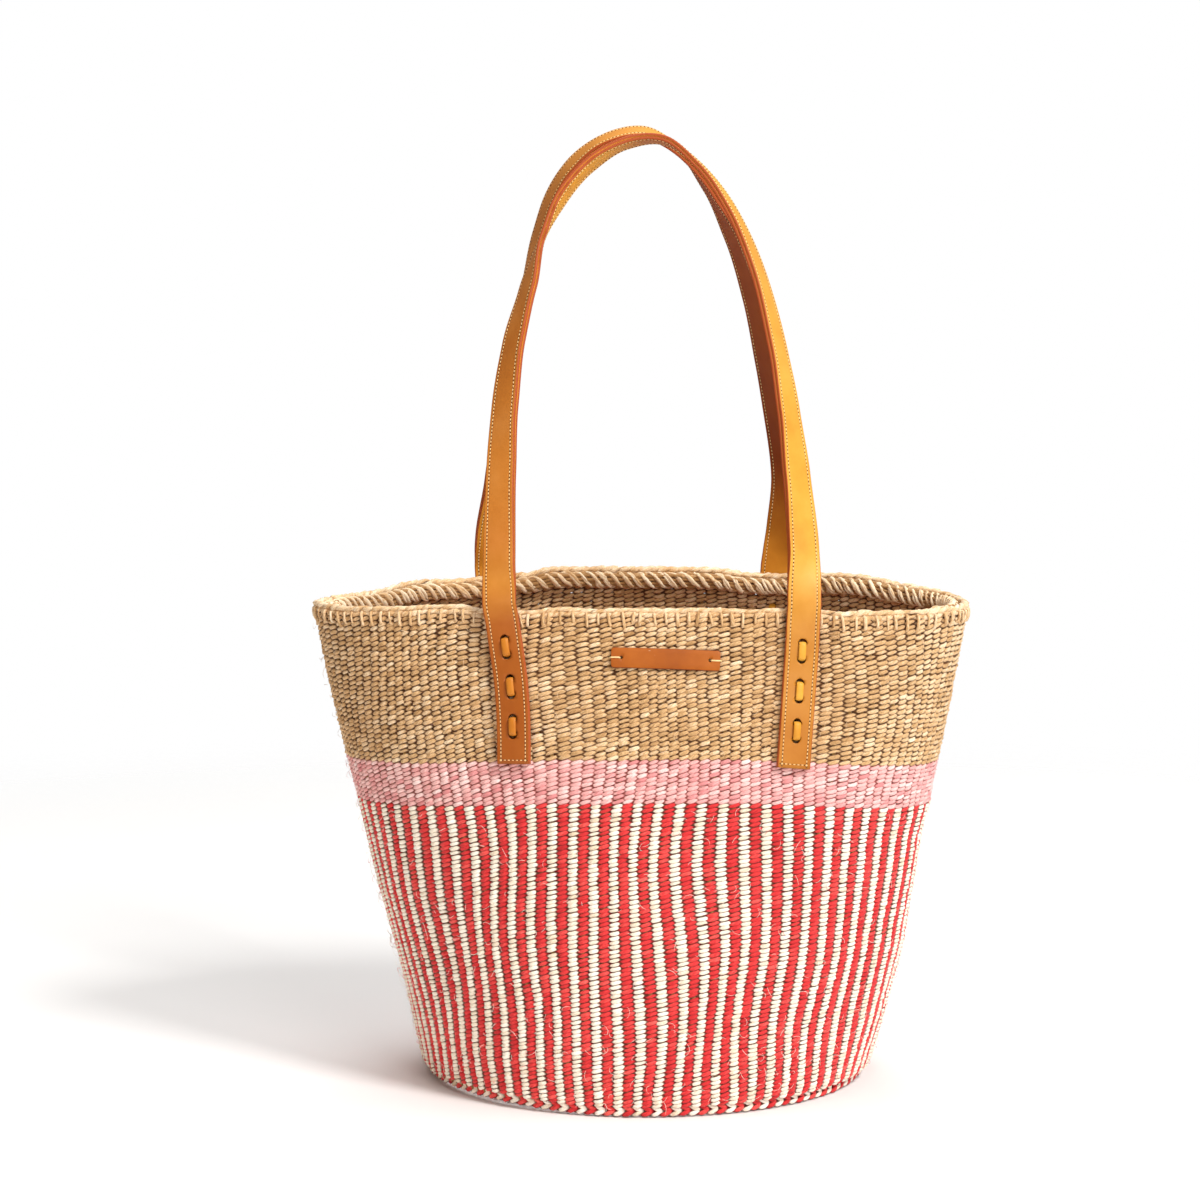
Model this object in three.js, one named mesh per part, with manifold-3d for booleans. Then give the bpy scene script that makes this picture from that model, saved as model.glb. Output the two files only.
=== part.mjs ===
// A hand-twined kiondo basket with two long leather shoulder handles.
// Millimetres, +Z up. The origin is on the floor under the middle of the base, and the front faces -Y.
import * as THREE from 'three';
import { mergeVertices } from 'three/addons/utils/BufferGeometryUtils.js';
import Module from 'manifold-3d';

const wasm = await Module();
wasm.setup();

// Basket body: outer surface of the twined wall
const body_height = 285;
const base_half_width = 130;
const base_half_depth = 130;
const rim_half_width = 190;
const rim_half_depth = 96;
const foot_radius = 10;
const wall_thickness = 5;
const base_thickness = 5;
const base_braid_width = 7;
const base_braid_height = 5;
const base_braid_inset = 6.5; // from the widest line of the foot to the middle of the braid
const side_drop_middle = 9; // how far the rows hang lower at the two sides, half way up
const side_drop_rim = 7; // the same at the rim
const side_forward = 22; // how far the two side corners of the mouth lie in front of its middle
const squeeze_power_share = 3; // the front and back walls draw in mostly near the rim
const corner_power_share = 2.15; // superellipse power of the mouth
const corner_skew_share = 0.35; // the left corner of the mouth is sharper than the right one

// Bands of the wall, from the rim down at the middle of the front. The striped wall takes the rest.
const natural_band_height = 83;
const pink_band_height = 24;
const piece_gap = 0.3;

// Rolled hem and its overcast stitches
const hem_width = 6;
const hem_height = 11;
const overcast_depth = 1;
const overcast_length = 6.5;
const overcast_below_rim = 5;

// Leather straps, each of two plies sewn back to back
const strap_width = 19;
const ply_thickness = 1.7;
const left_end_length = 86.3; // from the fold over the rim to the lower end of each left strap end
const right_end_length = 88;
const fold_above_rim = 2;
const handle_rise = 263;
const handle_apex_offset = 10.9; // from the middle plane to each strap at the top
const front_handle_x = 2.3;
const front_half_spread = 85.6;
const back_handle_x = -6.5;
const back_half_spread = 86.5;
const left_end_slant = 9; // how much nearer the middle each left strap end is at its lower edge
const right_end_slant = 7;
const front_left_bow = 2.8; // how far the middle of the front left strap end bows off its line
const facing_share = 0.4; // of its length down, each strap end turns to face along the wall
const lifted_shares = [0.2, 0.45]; // between these it comes down off the overcast stitches

// Lacing that ties each strap end to the wall
const stitch_count = 3;
const stitch_pitch = 22.3;
const stitch_span = 9; // between the two holes of one stitch
const stitch_end_margin = 21; // from the strap's lower end to the middle of the lowest stitch
const lace_hole_diameter = 5;
const thong_width = 4;
const thong_thickness = 1.6;
const thong_bend_radius = 1.2;
const lace_slack = 1; // between the lacing and the inside of the wall
const upper_tail = 6;
const lower_tail = 14;

// Leather label, left bare
const label_length = 61;
const label_width = 11.6;
const label_thickness = 1.6;
const label_x = 10;
const label_below_rim = 28; // from the rim to the middle of the label
const label_droop = 1.7; // how much lower its right end hangs
const label_hole_margin = 5;
const label_hole_diameter = 1.8;
const label_thread = 0.9;

// Fineness of the shapes, as counts
const ring_steps = 48;
const section_samples = 720;
const handle_steps = 56;
const end_steps = 12;
const hole_sides = 8;
const hem_sides = 8;
const label_steps = 4;
const arc_steps = 3;
const striped_levels = 5;
const natural_levels = 3;
const bisection_steps = 40;
const slope_step_share = 0.01; // of the wall's height or of one radian, for its slopes
const cut_overrun = 4;
const merge_distance = 0.0001;

// Handle paths as shares: across (of the half spread), up (of the rise), and the strap's roll in degrees
const front_path_shares = [
  [-1.0, 0.0, 0], [-1.0, 0.09, 24], [-0.991, 0.266, 34], [-0.967, 0.411, 44], [-0.91, 0.548, 54],
  [-0.82, 0.66, 64], [-0.725, 0.768, 84], [-0.59, 0.858, 99], [-0.4, 0.928, 98],
  [-0.16, 0.973, 93], [0.09, 0.979, 91], [0.335, 0.92, 88], [0.534, 0.831, 84],
  [0.709, 0.7, 76], [0.838, 0.536, 68], [0.908, 0.4, 54], [0.957, 0.266, 40],
  [0.996, 0.118, 26], [1.0, 0.0, 0],
];
const back_path_shares = [
  [-1.0, 0.0, 0], [-0.994, 0.075, 20], [-0.931, 0.21, 32], [-0.882, 0.357, 52], [-0.827, 0.525, 70],
  [-0.757, 0.635, 88], [-0.655, 0.757, 101], [-0.565, 0.845, 101], [-0.43, 0.918, 96],
  [-0.214, 0.975, 88], [0.064, 0.994, 86], [0.299, 0.952, 82], [0.506, 0.865, 72],
  [0.68, 0.755, 58], [0.819, 0.617, 52], [0.913, 0.468, 52], [0.994, 0.335, 44],
  [1.052, 0.21, 35], [1.032, 0.09, 26], [1.0, 0.0, 0],
];

const wall_bottom = base_braid_height + piece_gap;
const pink_top = body_height - natural_band_height;
const striped_top = pink_top - pink_band_height;
const strap_thickness = 2 * ply_thickness + piece_gap;
const fold_height = body_height + fold_above_rim;

const materials = {
  natural_sisal: new THREE.MeshStandardMaterial({ color: 0xcba66e, roughness: 0.85, metalness: 0 }),
  pink_sisal: new THREE.MeshStandardMaterial({ color: 0xf0a9b2, roughness: 0.85, metalness: 0 }),
  striped_sisal: new THREE.MeshStandardMaterial({ color: 0xd9463f, roughness: 0.85, metalness: 0 }),
  leather: new THREE.MeshStandardMaterial({ color: 0xd88a33, roughness: 0.5, metalness: 0 }),
  leather_lining: new THREE.MeshStandardMaterial({ color: 0xd9903a, roughness: 0.6, metalness: 0 }),
  thread: new THREE.MeshStandardMaterial({ color: 0xf0d9a5, roughness: 0.8, metalness: 0 }),
};

const basket = new THREE.Group();

function addPiece(name, geometry, material) {
  const mesh = new THREE.Mesh(geometry, material);
  mesh.name = name;
  basket.add(mesh);
  return mesh;
}

// The wall's outer surface

function signedPower(value, power) {
  return Math.sign(value) * Math.abs(value) ** power;
}

// A point of the wall at a share of its height (0 floor, 1 rim) and an angle (-90 degrees is the front)
function wallPoint(share, angle) {
  const half_width = THREE.MathUtils.lerp(base_half_width, rim_half_width, share);
  const squeeze = share ** squeeze_power_share;
  const half_depth = THREE.MathUtils.lerp(base_half_depth, rim_half_depth, squeeze);
  const power = 2 + share * (corner_power_share - 2 + corner_skew_share * Math.cos(angle));
  const across = signedPower(Math.cos(angle), 2 / power);
  const along = signedPower(Math.sin(angle), 2 / power);
  const height = share * body_height;
  const below = Math.max(foot_radius - height, 0);
  const foot_inset = foot_radius - Math.sqrt(foot_radius ** 2 - below ** 2);
  const rise = Math.max(height - wall_bottom, 0) / (body_height - wall_bottom);
  const drop = 4 * side_drop_middle * rise * (1 - rise) + side_drop_rim * rise;
  return new THREE.Vector3(
    (half_width - foot_inset) * across,
    (half_depth - foot_inset) * along - side_forward * share * across ** 2,
    height - drop * across ** 2,
  );
}

// The wall's outline at one level, as points evenly spaced along it from the middle of the front
function wallRing(share, count = ring_steps) {
  const points = [];
  for (let i = 0; i <= section_samples; i += 1) {
    points.push(wallPoint(share, ((i / section_samples) * 2 - 0.5) * Math.PI));
  }
  const length = [0];
  for (let i = 1; i < points.length; i += 1) {
    length.push(length[i - 1] + points[i].distanceTo(points[i - 1]));
  }
  const ring = [];
  let seg = 1;
  for (let k = 0; k < count; k += 1) {
    const want = (k / count) * length[section_samples];
    while (length[seg] < want) seg += 1;
    const mix = (want - length[seg - 1]) / (length[seg] - length[seg - 1]);
    ring.push(points[seg - 1].clone().lerp(points[seg], mix));
  }
  return ring;
}

// Outward level directions of a ring's points
function ringNormals(ring) {
  return ring.map((point, i) => {
    const before = ring[(i + ring.length - 1) % ring.length];
    const after = ring[(i + 1) % ring.length];
    return new THREE.Vector3(after.y - before.y, before.x - after.x, 0).normalize();
  });
}

// The angle at which the wall has a given x, on the front (-1) or the back (+1)
function angleAt(share, x, side) {
  let low = 0;
  let high = Math.PI;
  for (let i = 0; i < bisection_steps; i += 1) {
    const middle = (low + high) / 2;
    if (wallPoint(share, side * middle).x > x) low = middle;
    else high = middle;
  }
  return (side * (low + high)) / 2;
}

// Point and outward direction of the wall at a height share and an x, on the front or the back
function wallSpot(share, x, side) {
  const step = slope_step_share;
  const angle = angleAt(share, x, side);
  const point = wallPoint(share, angle);
  const along = wallPoint(share, angle + step).sub(wallPoint(share, angle - step));
  const up = wallPoint(share + step, angle).sub(wallPoint(share - step, angle));
  return { point, normal: along.cross(up).normalize() };
}

// Closed solids from rows of points

function solidFrom(positions, triangles) {
  const geometry = new THREE.BufferGeometry();
  geometry.setAttribute('position', new THREE.Float32BufferAttribute(positions, 3));
  geometry.setIndex(triangles);
  geometry.computeVertexNormals();
  return geometry;
}

// Sections are loops of points of one length. A closed tube joins the last section to the first. The two
// sides of a twisted strip are split along the same diagonals, so that two strips lie face to face.
function loft(sections, closed) {
  const size = sections[0].length;
  const positions = sections.flat().flatMap((p) => [p.x, p.y, p.z]);
  const triangles = [];
  const spans = closed ? sections.length : sections.length - 1;
  for (let i = 0; i < spans; i += 1) {
    const here = i * size;
    const next = ((i + 1) % sections.length) * size;
    for (let j = 0; j < size; j += 1) {
      const k = (j + 1) % size;
      if (j < size / 2) triangles.push(here + j, here + k, next + k, here + j, next + k, next + j);
      else triangles.push(here + j, here + k, next + j, here + k, next + k, next + j);
    }
  }
  if (!closed) {
    const last = (sections.length - 1) * size;
    for (let j = 2; j < size; j += 1) {
      const k = (j + 1) % size;
      triangles.push(1, k, j, last + 1, last + j, last + k);
    }
  }
  return solidFrom(positions, triangles);
}

function evenHeights(bottom, top, steps) {
  return Array.from({ length: steps + 1 }, (_, i) => THREE.MathUtils.lerp(bottom, top, i / steps));
}

// One band of the twined wall, through rings at the given heights
function wallBand(heights) {
  const rings = heights.map((height) => wallRing(height / body_height));
  const normals = rings.map(ringNormals);
  const sections = [];
  for (let k = 0; k < ring_steps; k += 1) {
    const outer = rings.map((ring) => ring[k].clone());
    const inner = rings.map((ring, i) => ring[k].clone().addScaledVector(normals[i][k], -wall_thickness));
    sections.push([...inner, ...outer.reverse()]);
  }
  return loft(sections, true);
}

// A ring that follows the wall: its outline is given as [outward from the wall, height]
function wallTrim(outline) {
  const rows = outline.map(([out, height]) => {
    const ring = wallRing(height / body_height);
    const normals = ringNormals(ring);
    return ring.map((point, k) => point.clone().addScaledVector(normals[k], out));
  });
  const sections = rows[0].map((_, k) => rows.map((row) => row[k]));
  return loft(sections, true);
}

// Booleans

function toSolid(geometry) {
  const bare = geometry.clone();
  bare.deleteAttribute('normal');
  bare.deleteAttribute('uv');
  const merged = mergeVertices(bare, merge_distance);
  return new wasm.Manifold(new wasm.Mesh({
    numProp: 3,
    vertProperties: new Float32Array(merged.attributes.position.array),
    triVerts: new Uint32Array(merged.index.array),
  }));
}

function toGeometry(solid) {
  const mesh = solid.getMesh();
  return solidFrom(Array.from(mesh.vertProperties), Array.from(mesh.triVerts));
}

function cutAll(geometry, cutters) {
  let solid = toSolid(geometry);
  for (const cutter of cutters) solid = solid.subtract(toSolid(cutter));
  return toGeometry(solid);
}

// A round cutter along a direction, centred on a point
function roundCutter(centre, direction, diameter, length) {
  const cutter = new THREE.CylinderGeometry(diameter / 2, diameter / 2, length, hole_sides);
  const turn = new THREE.Quaternion().setFromUnitVectors(new THREE.Vector3(0, 1, 0), direction);
  cutter.applyQuaternion(turn);
  cutter.translate(centre.x, centre.y, centre.z);
  return cutter;
}

// Straps and thongs: frames carry a point, the outer direction and the width direction

function frameAt(point, tangent, normal) {
  const across = tangent.clone().cross(normal).normalize();
  return { point, normal: across.clone().cross(tangent).normalize(), across };
}

function strip(frames, low, high, width) {
  const sections = frames.map(({ point, normal, across }) => [
    [high, -width / 2], [high, 0], [high, width / 2], [low, width / 2], [low, 0], [low, -width / 2],
  ].map(([out, side]) => point.clone().addScaledVector(normal, out).addScaledVector(across, side)));
  return loft(sections, false);
}

const handles = {
  front: {
    side: -1, middle: front_handle_x, half_spread: front_half_spread, path: front_path_shares,
    left_bow: front_left_bow,
  },
  back: {
    side: 1, middle: back_handle_x, half_spread: back_half_spread, path: back_path_shares,
    left_bow: 0,
  },
};

// Each fold line lies along X on the outer face of its two strap ends, clear of the wall and its stitches
for (const handle of Object.values(handles)) {
  const edges = [-1, 1].flatMap((end) => [-1, 1].map((edge) => (
    handle.middle + end * handle.half_spread + (edge * strap_width) / 2
  )));
  const reach = edges.map((x) => (
    Math.abs(wallSpot(1, x, handle.side).point.y) + overcast_depth + 2 * piece_gap + strap_thickness
  ));
  handle.fold_y = handle.side * Math.max(...reach);
  handle.apex_y = handle.side * handle_apex_offset;
  const run = Math.abs(handle.fold_y) - handle_apex_offset;
  const slope = Math.hypot(run, handle_rise);
  handle.face = new THREE.Vector3(0, (handle.side * handle_rise) / slope, run / slope);
  handle.rise = new THREE.Vector3(0, (-handle.side * run) / slope, handle_rise / slope);
}

// Frames of a whole handle loop, from its left end to its right end. The strap starts with its outer
// face square to the loop's plane, and its roll turns that face towards the outside of the loop.
function handleFrames(handle) {
  const half_thick = strap_thickness / 2;
  const centre_y = handle.fold_y - handle.side * half_thick;
  const centres = handle.path.map(([across, up]) => new THREE.Vector3(
    handle.middle + across * handle.half_spread,
    THREE.MathUtils.lerp(centre_y, handle.apex_y, up),
    fold_height + piece_gap / 2 + up * (handle_rise - piece_gap / 2),
  ));
  const curve = new THREE.CatmullRomCurve3(centres, false, 'centripetal');
  const loop_middle = new THREE.Vector3(
    handle.middle,
    (centre_y + handle.apex_y) / 2,
    fold_height + handle_rise / 2,
  );
  const frames = [];
  for (let i = 0; i <= handle_steps; i += 1) {
    const t = i / handle_steps;
    const along = t * (handle.path.length - 1);
    const row = Math.min(Math.floor(along), handle.path.length - 2);
    const ease = THREE.MathUtils.smoothstep(along - row, 0, 1);
    const roll = THREE.MathUtils.degToRad(
      THREE.MathUtils.lerp(handle.path[row][2], handle.path[row + 1][2], ease),
    );
    const tangent = curve.getTangent(t);
    if (i === 0) tangent.copy(handle.rise);
    if (i === handle_steps) tangent.copy(handle.rise).negate();
    const point = curve.getPoint(t);
    const outward = handle.face.clone().cross(tangent).normalize();
    if (outward.dot(point.clone().sub(loop_middle)) < 0) outward.negate();
    const normal = handle.face.clone().multiplyScalar(Math.cos(roll));
    normal.addScaledVector(outward, Math.sin(roll));
    frames.push(frameAt(point, tangent, normal));
  }
  return frames;
}

// Frames of one strap end, from the fold down the wall to its lower edge
function endFrames(handle, end) {
  const x_top = handle.middle + end * handle.half_spread;
  const slant = end < 0 ? left_end_slant : right_end_slant;
  const bow = end < 0 ? handle.left_bow : 0;
  const length = end < 0 ? left_end_length : right_end_length;
  const half_thick = strap_thickness / 2;
  const over_rim = overcast_depth + piece_gap;
  const first = new THREE.Vector3(x_top, handle.fold_y, fold_height - piece_gap / 2);
  first.addScaledVector(handle.face, -half_thick);
  const points = [first];
  const normals = [handle.face.clone()];
  const wall_distances = [half_thick + over_rim];
  for (let i = 1; i <= end_steps; i += 1) {
    const down = i / end_steps;
    const share = 1 - (down * length - fold_above_rim) / body_height;
    const inward = slant * down + bow * Math.sin(Math.PI * down);
    const spot = wallSpot(share, x_top - end * inward, handle.side);
    const clear_of_rim = THREE.MathUtils.smoothstep(down, ...lifted_shares);
    const turned = THREE.MathUtils.smoothstep(down, 0, facing_share);
    const normal = handle.face.clone().lerp(spot.normal, turned).normalize();
    const twist = Math.sin(normal.angleTo(spot.normal));
    const out = piece_gap + half_thick + over_rim * (1 - clear_of_rim) + (twist * strap_width) / 2;
    const outward = new THREE.Vector3(normal.x, normal.y, spot.normal.z).normalize();
    const point = spot.point.clone().addScaledVector(outward, out);
    const overhang = Math.max(handle.side * (first.y - point.y), 0);
    point.y += handle.side * overhang * (1 - turned);
    points.push(point);
    normals.push(normal);
    const distance = point.clone().sub(spot.point).dot(spot.normal) / normal.dot(spot.normal);
    wall_distances.push(distance);
  }
  const curve = new THREE.CatmullRomCurve3(points, false, 'centripetal');
  return points.map((point, i) => {
    const tangent = i === 0 ? handle.rise.clone().negate() : curve.getTangent(i / end_steps);
    return { ...frameAt(point, tangent, normals[i]), wall_distance: wall_distances[i] };
  });
}

// A spot on a strap end at a distance along it from its lower edge
function spotOnEnd(frames, distance) {
  let left = distance;
  for (let i = frames.length - 1; i > 0; i -= 1) {
    const step = frames[i].point.distanceTo(frames[i - 1].point);
    if (left <= step || i === 1) {
      const mix = left / step;
      const point = frames[i].point.clone().lerp(frames[i - 1].point, mix);
      const normal = frames[i].normal.clone().lerp(frames[i - 1].normal, mix).normalize();
      const upward = frames[i - 1].point.clone().sub(frames[i].point).normalize();
      const wall_distance = THREE.MathUtils.lerp(frames[i].wall_distance, frames[i - 1].wall_distance, mix);
      return { point, normal, upward, wall_distance };
    }
    left -= step;
  }
  return null;
}

function laceHoleDistances() {
  const distances = [];
  for (let i = 0; i < stitch_count; i += 1) {
    const middle = stitch_end_margin + i * stitch_pitch;
    distances.push(middle - stitch_span / 2, middle + stitch_span / 2);
  }
  return distances;
}

// The thong runs out and in through the holes, from a tail inside the wall to another
function thongFrames(frames) {
  const outside = strap_thickness / 2 + piece_gap + thong_thickness / 2;
  const insideAt = (distance) => {
    const depth = spotOnEnd(frames, distance).wall_distance + wall_thickness;
    return -(depth + lace_slack + thong_thickness / 2);
  };
  const holes = laceHoleDistances();
  const lower_end = holes[0] - lower_tail;
  const upper_end = holes[holes.length - 1] - upper_tail;
  const route = [[lower_end, insideAt(lower_end)]];
  holes.forEach((distance, i) => {
    const between = (distance + (holes[i + 1] ?? upper_end)) / 2;
    if (i % 2 === 0) route.push([distance, insideAt(distance)], [distance, outside], [between, outside]);
    else route.push([distance, outside], [distance, insideAt(distance)], [between, insideAt(between)]);
  });
  route.push([upper_end, insideAt(upper_end)]);
  const flat = [new THREE.Vector2(...route[0])];
  for (let i = 1; i < route.length - 1; i += 1) {
    const corner = new THREE.Vector2(...route[i]);
    const from = new THREE.Vector2(...route[i - 1]).sub(corner).normalize();
    const to = new THREE.Vector2(...route[i + 1]).sub(corner).normalize();
    const start = corner.clone().addScaledVector(from, thong_bend_radius);
    const finish = corner.clone().addScaledVector(to, thong_bend_radius);
    const bend = new THREE.QuadraticBezierCurve(start, corner, finish);
    flat.push(...bend.getPoints(arc_steps));
  }
  flat.push(new THREE.Vector2(...route[route.length - 1]));
  const points = flat.map((p) => {
    const spot = spotOnEnd(frames, p.x);
    return { spot, point: spot.point.clone().addScaledVector(spot.normal, p.y) };
  });
  return points.map(({ spot, point }, i) => {
    const before = points[Math.max(i - 1, 0)].point;
    const after = points[Math.min(i + 1, points.length - 1)].point;
    const tangent = after.clone().sub(before).normalize();
    const across = spot.upward.clone().cross(spot.normal).normalize();
    return { point, across, normal: across.clone().cross(tangent).normalize() };
  });
}

// Woven body

const overcast_top = body_height - overcast_below_rim;
const overcast_bottom = overcast_top - overcast_length;

function addBase() {
  const braid_middle = base_half_width - base_braid_inset;
  const base_radius = braid_middle - base_braid_width / 2 - piece_gap;
  const disc = new THREE.CylinderGeometry(base_radius, base_radius, base_thickness, ring_steps);
  disc.rotateX(Math.PI / 2);
  disc.translate(0, 0, base_thickness / 2);
  addPiece('woven_base', disc, materials.striped_sisal);

  // The braid's section has flats at its top and bottom, so its corners lie a little further out
  const corner_share = 1 / Math.cos(Math.PI / hem_sides);
  const profile = [];
  for (let i = 0; i <= hem_sides; i += 1) {
    const turn = ((i + 0.5) / hem_sides) * 2 * Math.PI;
    profile.push(new THREE.Vector2(
      braid_middle + (base_braid_width / 2) * corner_share * Math.cos(turn),
      (base_braid_height / 2) * (1 + corner_share * Math.sin(turn)),
    ));
  }
  const braid = new THREE.LatheGeometry(profile, ring_steps);
  braid.rotateX(Math.PI / 2);
  addPiece('base_edge_braid', braid, materials.striped_sisal);
}

function hemOutline() {
  const outline = [];
  for (let i = 0; i < hem_sides; i += 1) {
    const turn = (-(i + 0.5) / hem_sides) * 2 * Math.PI;
    outline.push([
      -wall_thickness - piece_gap - (hem_width / 2) * (1 - Math.cos(turn)),
      body_height + (hem_height / 2) * (Math.sin(turn) - 1),
    ]);
  }
  return outline;
}

function overcastOutline() {
  const inner = piece_gap;
  const outer = piece_gap + overcast_depth;
  return [[inner, overcast_bottom], [inner, overcast_top], [outer, overcast_top], [outer, overcast_bottom]];
}

// Leather

function labelSpots() {
  const spots = [];
  for (let i = 0; i <= label_steps; i += 1) {
    const across = i / label_steps - 0.5;
    const height = body_height - label_below_rim - across * label_droop;
    const spot = wallSpot(height / body_height, label_x + across * label_length, -1);
    const out = piece_gap + label_thickness / 2;
    spots.push({ point: spot.point.clone().addScaledVector(spot.normal, out), normal: spot.normal });
  }
  return spots;
}

function addLabel() {
  const spots = labelSpots();
  const along = spots[label_steps].point.clone().sub(spots[0].point).normalize();
  const frames = spots.map(({ point, normal }) => frameAt(point, along, normal));
  const tab = strip(frames, -label_thickness / 2, label_thickness / 2, label_width);
  const ends = { left: frames[0], right: frames[label_steps] };
  const cutters = [];
  Object.entries(ends).forEach(([end, frame]) => {
    const inward = along.clone().multiplyScalar(end === 'left' ? 1 : -1);
    const hole = frame.point.clone().addScaledVector(inward, label_hole_margin);
    cutters.push(roundCutter(hole, frame.normal, label_hole_diameter, label_thickness + cut_overrun));
    const above = label_thickness / 2 + piece_gap + label_thread / 2;
    const beyond = piece_gap + label_thread / 2;
    const floor = -label_thickness / 2;
    const route = [
      [label_hole_margin, floor], [label_hole_margin, above], [-beyond, above], [-beyond, floor],
    ];
    const across = frame.normal.clone().cross(inward).normalize();
    const leans = [[1, 0], [1, 1], [-1, 1], [-1, 0]];
    const thread = route.map(([distance, out], i) => {
      const point = frame.point.clone().addScaledVector(inward, distance);
      point.addScaledVector(frame.normal, out);
      const normal = inward.clone().multiplyScalar(leans[i][0]).addScaledVector(frame.normal, leans[i][1]);
      return { point, normal, across };
    });
    const stitch = strip(thread, -label_thread / 2, label_thread / 2, label_thread);
    addPiece(`label_stitch_${end}`, stitch, materials.thread);
  });
  addPiece('label_tab', cutAll(tab, cutters), materials.leather);
}

addBase();
const striped_heights = evenHeights(wall_bottom, striped_top - piece_gap, striped_levels);
const natural_heights = evenHeights(pink_top, overcast_bottom, natural_levels);
natural_heights.push(overcast_top, body_height);
addPiece('striped_weave_wall', wallBand(striped_heights), materials.striped_sisal);
addPiece('pink_weave_band', wallBand([striped_top, pink_top - piece_gap]), materials.pink_sisal);
addPiece('rim_hem_roll', wallTrim(hemOutline()), materials.natural_sisal);
addPiece('rim_overcast_stitches', wallTrim(overcastOutline()), materials.natural_sisal);

const wall_cutters = [];
const ply_low = piece_gap / 2;
const ply_high = piece_gap / 2 + ply_thickness;
for (const [name, handle] of Object.entries(handles)) {
  const loop = handleFrames(handle);
  addPiece(`${name}_handle_outer_ply`, strip(loop, ply_low, ply_high, strap_width), materials.leather);
  const lining_loop = strip(loop, -ply_high, -ply_low, strap_width);
  addPiece(`${name}_handle_lining_ply`, lining_loop, materials.leather_lining);
  for (const [end_name, end] of [['left', -1], ['right', 1]]) {
    const frames = endFrames(handle, end);
    const depth = 2 * (strap_thickness + wall_thickness + cut_overrun);
    const cutters = laceHoleDistances().map((distance) => {
      const { point, normal } = spotOnEnd(frames, distance);
      return roundCutter(point, normal, lace_hole_diameter, depth);
    });
    wall_cutters.push(...cutters);
    const prefix = `${name}_${end_name}`;
    const outer = cutAll(strip(frames, ply_low, ply_high, strap_width), cutters);
    const lining = cutAll(strip(frames, -ply_high, -ply_low, strap_width), cutters);
    addPiece(`${prefix}_strap_end_outer`, outer, materials.leather);
    addPiece(`${prefix}_strap_end_lining`, lining, materials.leather_lining);
    const thong = strip(thongFrames(frames), -thong_thickness / 2, thong_thickness / 2, thong_width);
    addPiece(`${prefix}_lace`, thong, materials.leather);
  }
}
addPiece('natural_weave_band', cutAll(wallBand(natural_heights), wall_cutters), materials.natural_sisal);
addLabel();

export default basket;
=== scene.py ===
# %% [markdown]
# # A hand-twined sisal basket with two leather handles
# The real basket is a kiondo. Sisal cords, the warps, run out from the middle of its base and up its wall,
# and pairs of spun sisal strands, the weft, are twisted round them row by row. The mouth is finished with a
# rolled hem, and two sewn leather straps are laced to the wall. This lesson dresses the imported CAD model:
# every CAD piece is replaced by strands, plies and threads that lie where it lies.

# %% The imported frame
import math

import bpy
import numpy as np
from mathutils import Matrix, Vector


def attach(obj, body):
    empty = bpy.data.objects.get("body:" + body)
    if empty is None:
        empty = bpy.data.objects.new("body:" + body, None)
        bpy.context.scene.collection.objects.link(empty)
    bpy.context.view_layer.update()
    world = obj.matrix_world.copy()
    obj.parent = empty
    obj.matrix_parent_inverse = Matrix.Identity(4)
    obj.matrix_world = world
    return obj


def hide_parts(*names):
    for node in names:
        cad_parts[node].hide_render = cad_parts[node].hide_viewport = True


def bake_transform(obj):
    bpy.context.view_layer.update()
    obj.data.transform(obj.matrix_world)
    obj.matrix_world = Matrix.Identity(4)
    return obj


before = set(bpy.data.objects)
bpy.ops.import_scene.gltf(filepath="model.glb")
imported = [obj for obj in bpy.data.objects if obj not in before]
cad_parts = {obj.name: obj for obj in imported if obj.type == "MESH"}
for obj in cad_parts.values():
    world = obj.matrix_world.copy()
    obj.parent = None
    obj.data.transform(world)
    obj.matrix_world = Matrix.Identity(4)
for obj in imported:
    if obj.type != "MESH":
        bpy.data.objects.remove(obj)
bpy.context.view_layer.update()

MM = 0.001

# %% [markdown]
# ## Small helpers
# Three things come back all the time: adding a node with its settings and links, reading a colour as a
# screen shows it, and keeping a vector at unit length.


# %% Helpers
def fill(tree, node, inputs):
    """Sets a node's inputs. Each is a value, or another node's output to link from."""
    for name, value in inputs.items():
        if isinstance(value, bpy.types.NodeSocket):
            tree.links.new(value, node.inputs[name])
        else:
            node.inputs[name].default_value = value


def add_node(tree, kind, inputs=None, **settings):
    """Adds a node with its settings and its inputs."""
    node = tree.nodes.new(kind)
    for name, value in settings.items():
        setattr(node, name, value)
    fill(tree, node, inputs or {})
    return node


def linear(hex_colour):
    """An sRGB colour such as #C9A76F as the linear values that the nodes expect."""
    channels = [int(hex_colour[i : i + 2], 16) / 255 for i in (1, 3, 5)]
    return [c / 12.92 if c <= 0.04045 else ((c + 0.055) / 1.055) ** 2.4 for c in channels] + [1.0]


def unit(vectors):
    """The same directions, each of length 1."""
    return vectors / np.linalg.norm(vectors, axis=-1, keepdims=True)


def smoothstep(value, low, high):
    """Goes softly from 0 to 1 while the value goes from low to high."""
    t = np.clip((value - low) / (high - low), 0, 1)
    return t * t * (3 - 2 * t)


# %% [markdown]
# ## Camera and lamps
# A product photograph like this one is taken from far off with a long lens, so the basket hardly narrows
# towards the back. The lens and the place were worked out from the ovals of the mouth and of the base. A
# soft key lamp stands at the upper right and throws the shadow to the left, a weaker one in front reaches
# into the mouth, a wide lamp overhead keeps the floor white, and a weak warm lamp at the left stands for a
# reflector.

# %% Camera and lamps
PHOTO_LENS_MM = 127.4
PHOTO_PLACE = (-0.0267, -2.46, 0.577)
PHOTO_TILT = math.radians(90 - 6.94)


def new_object(name, data):
    """An object in the scene for a camera, a lamp or a mesh."""
    made = bpy.data.objects.new(name, data)
    bpy.context.collection.objects.link(made)
    return made


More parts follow.
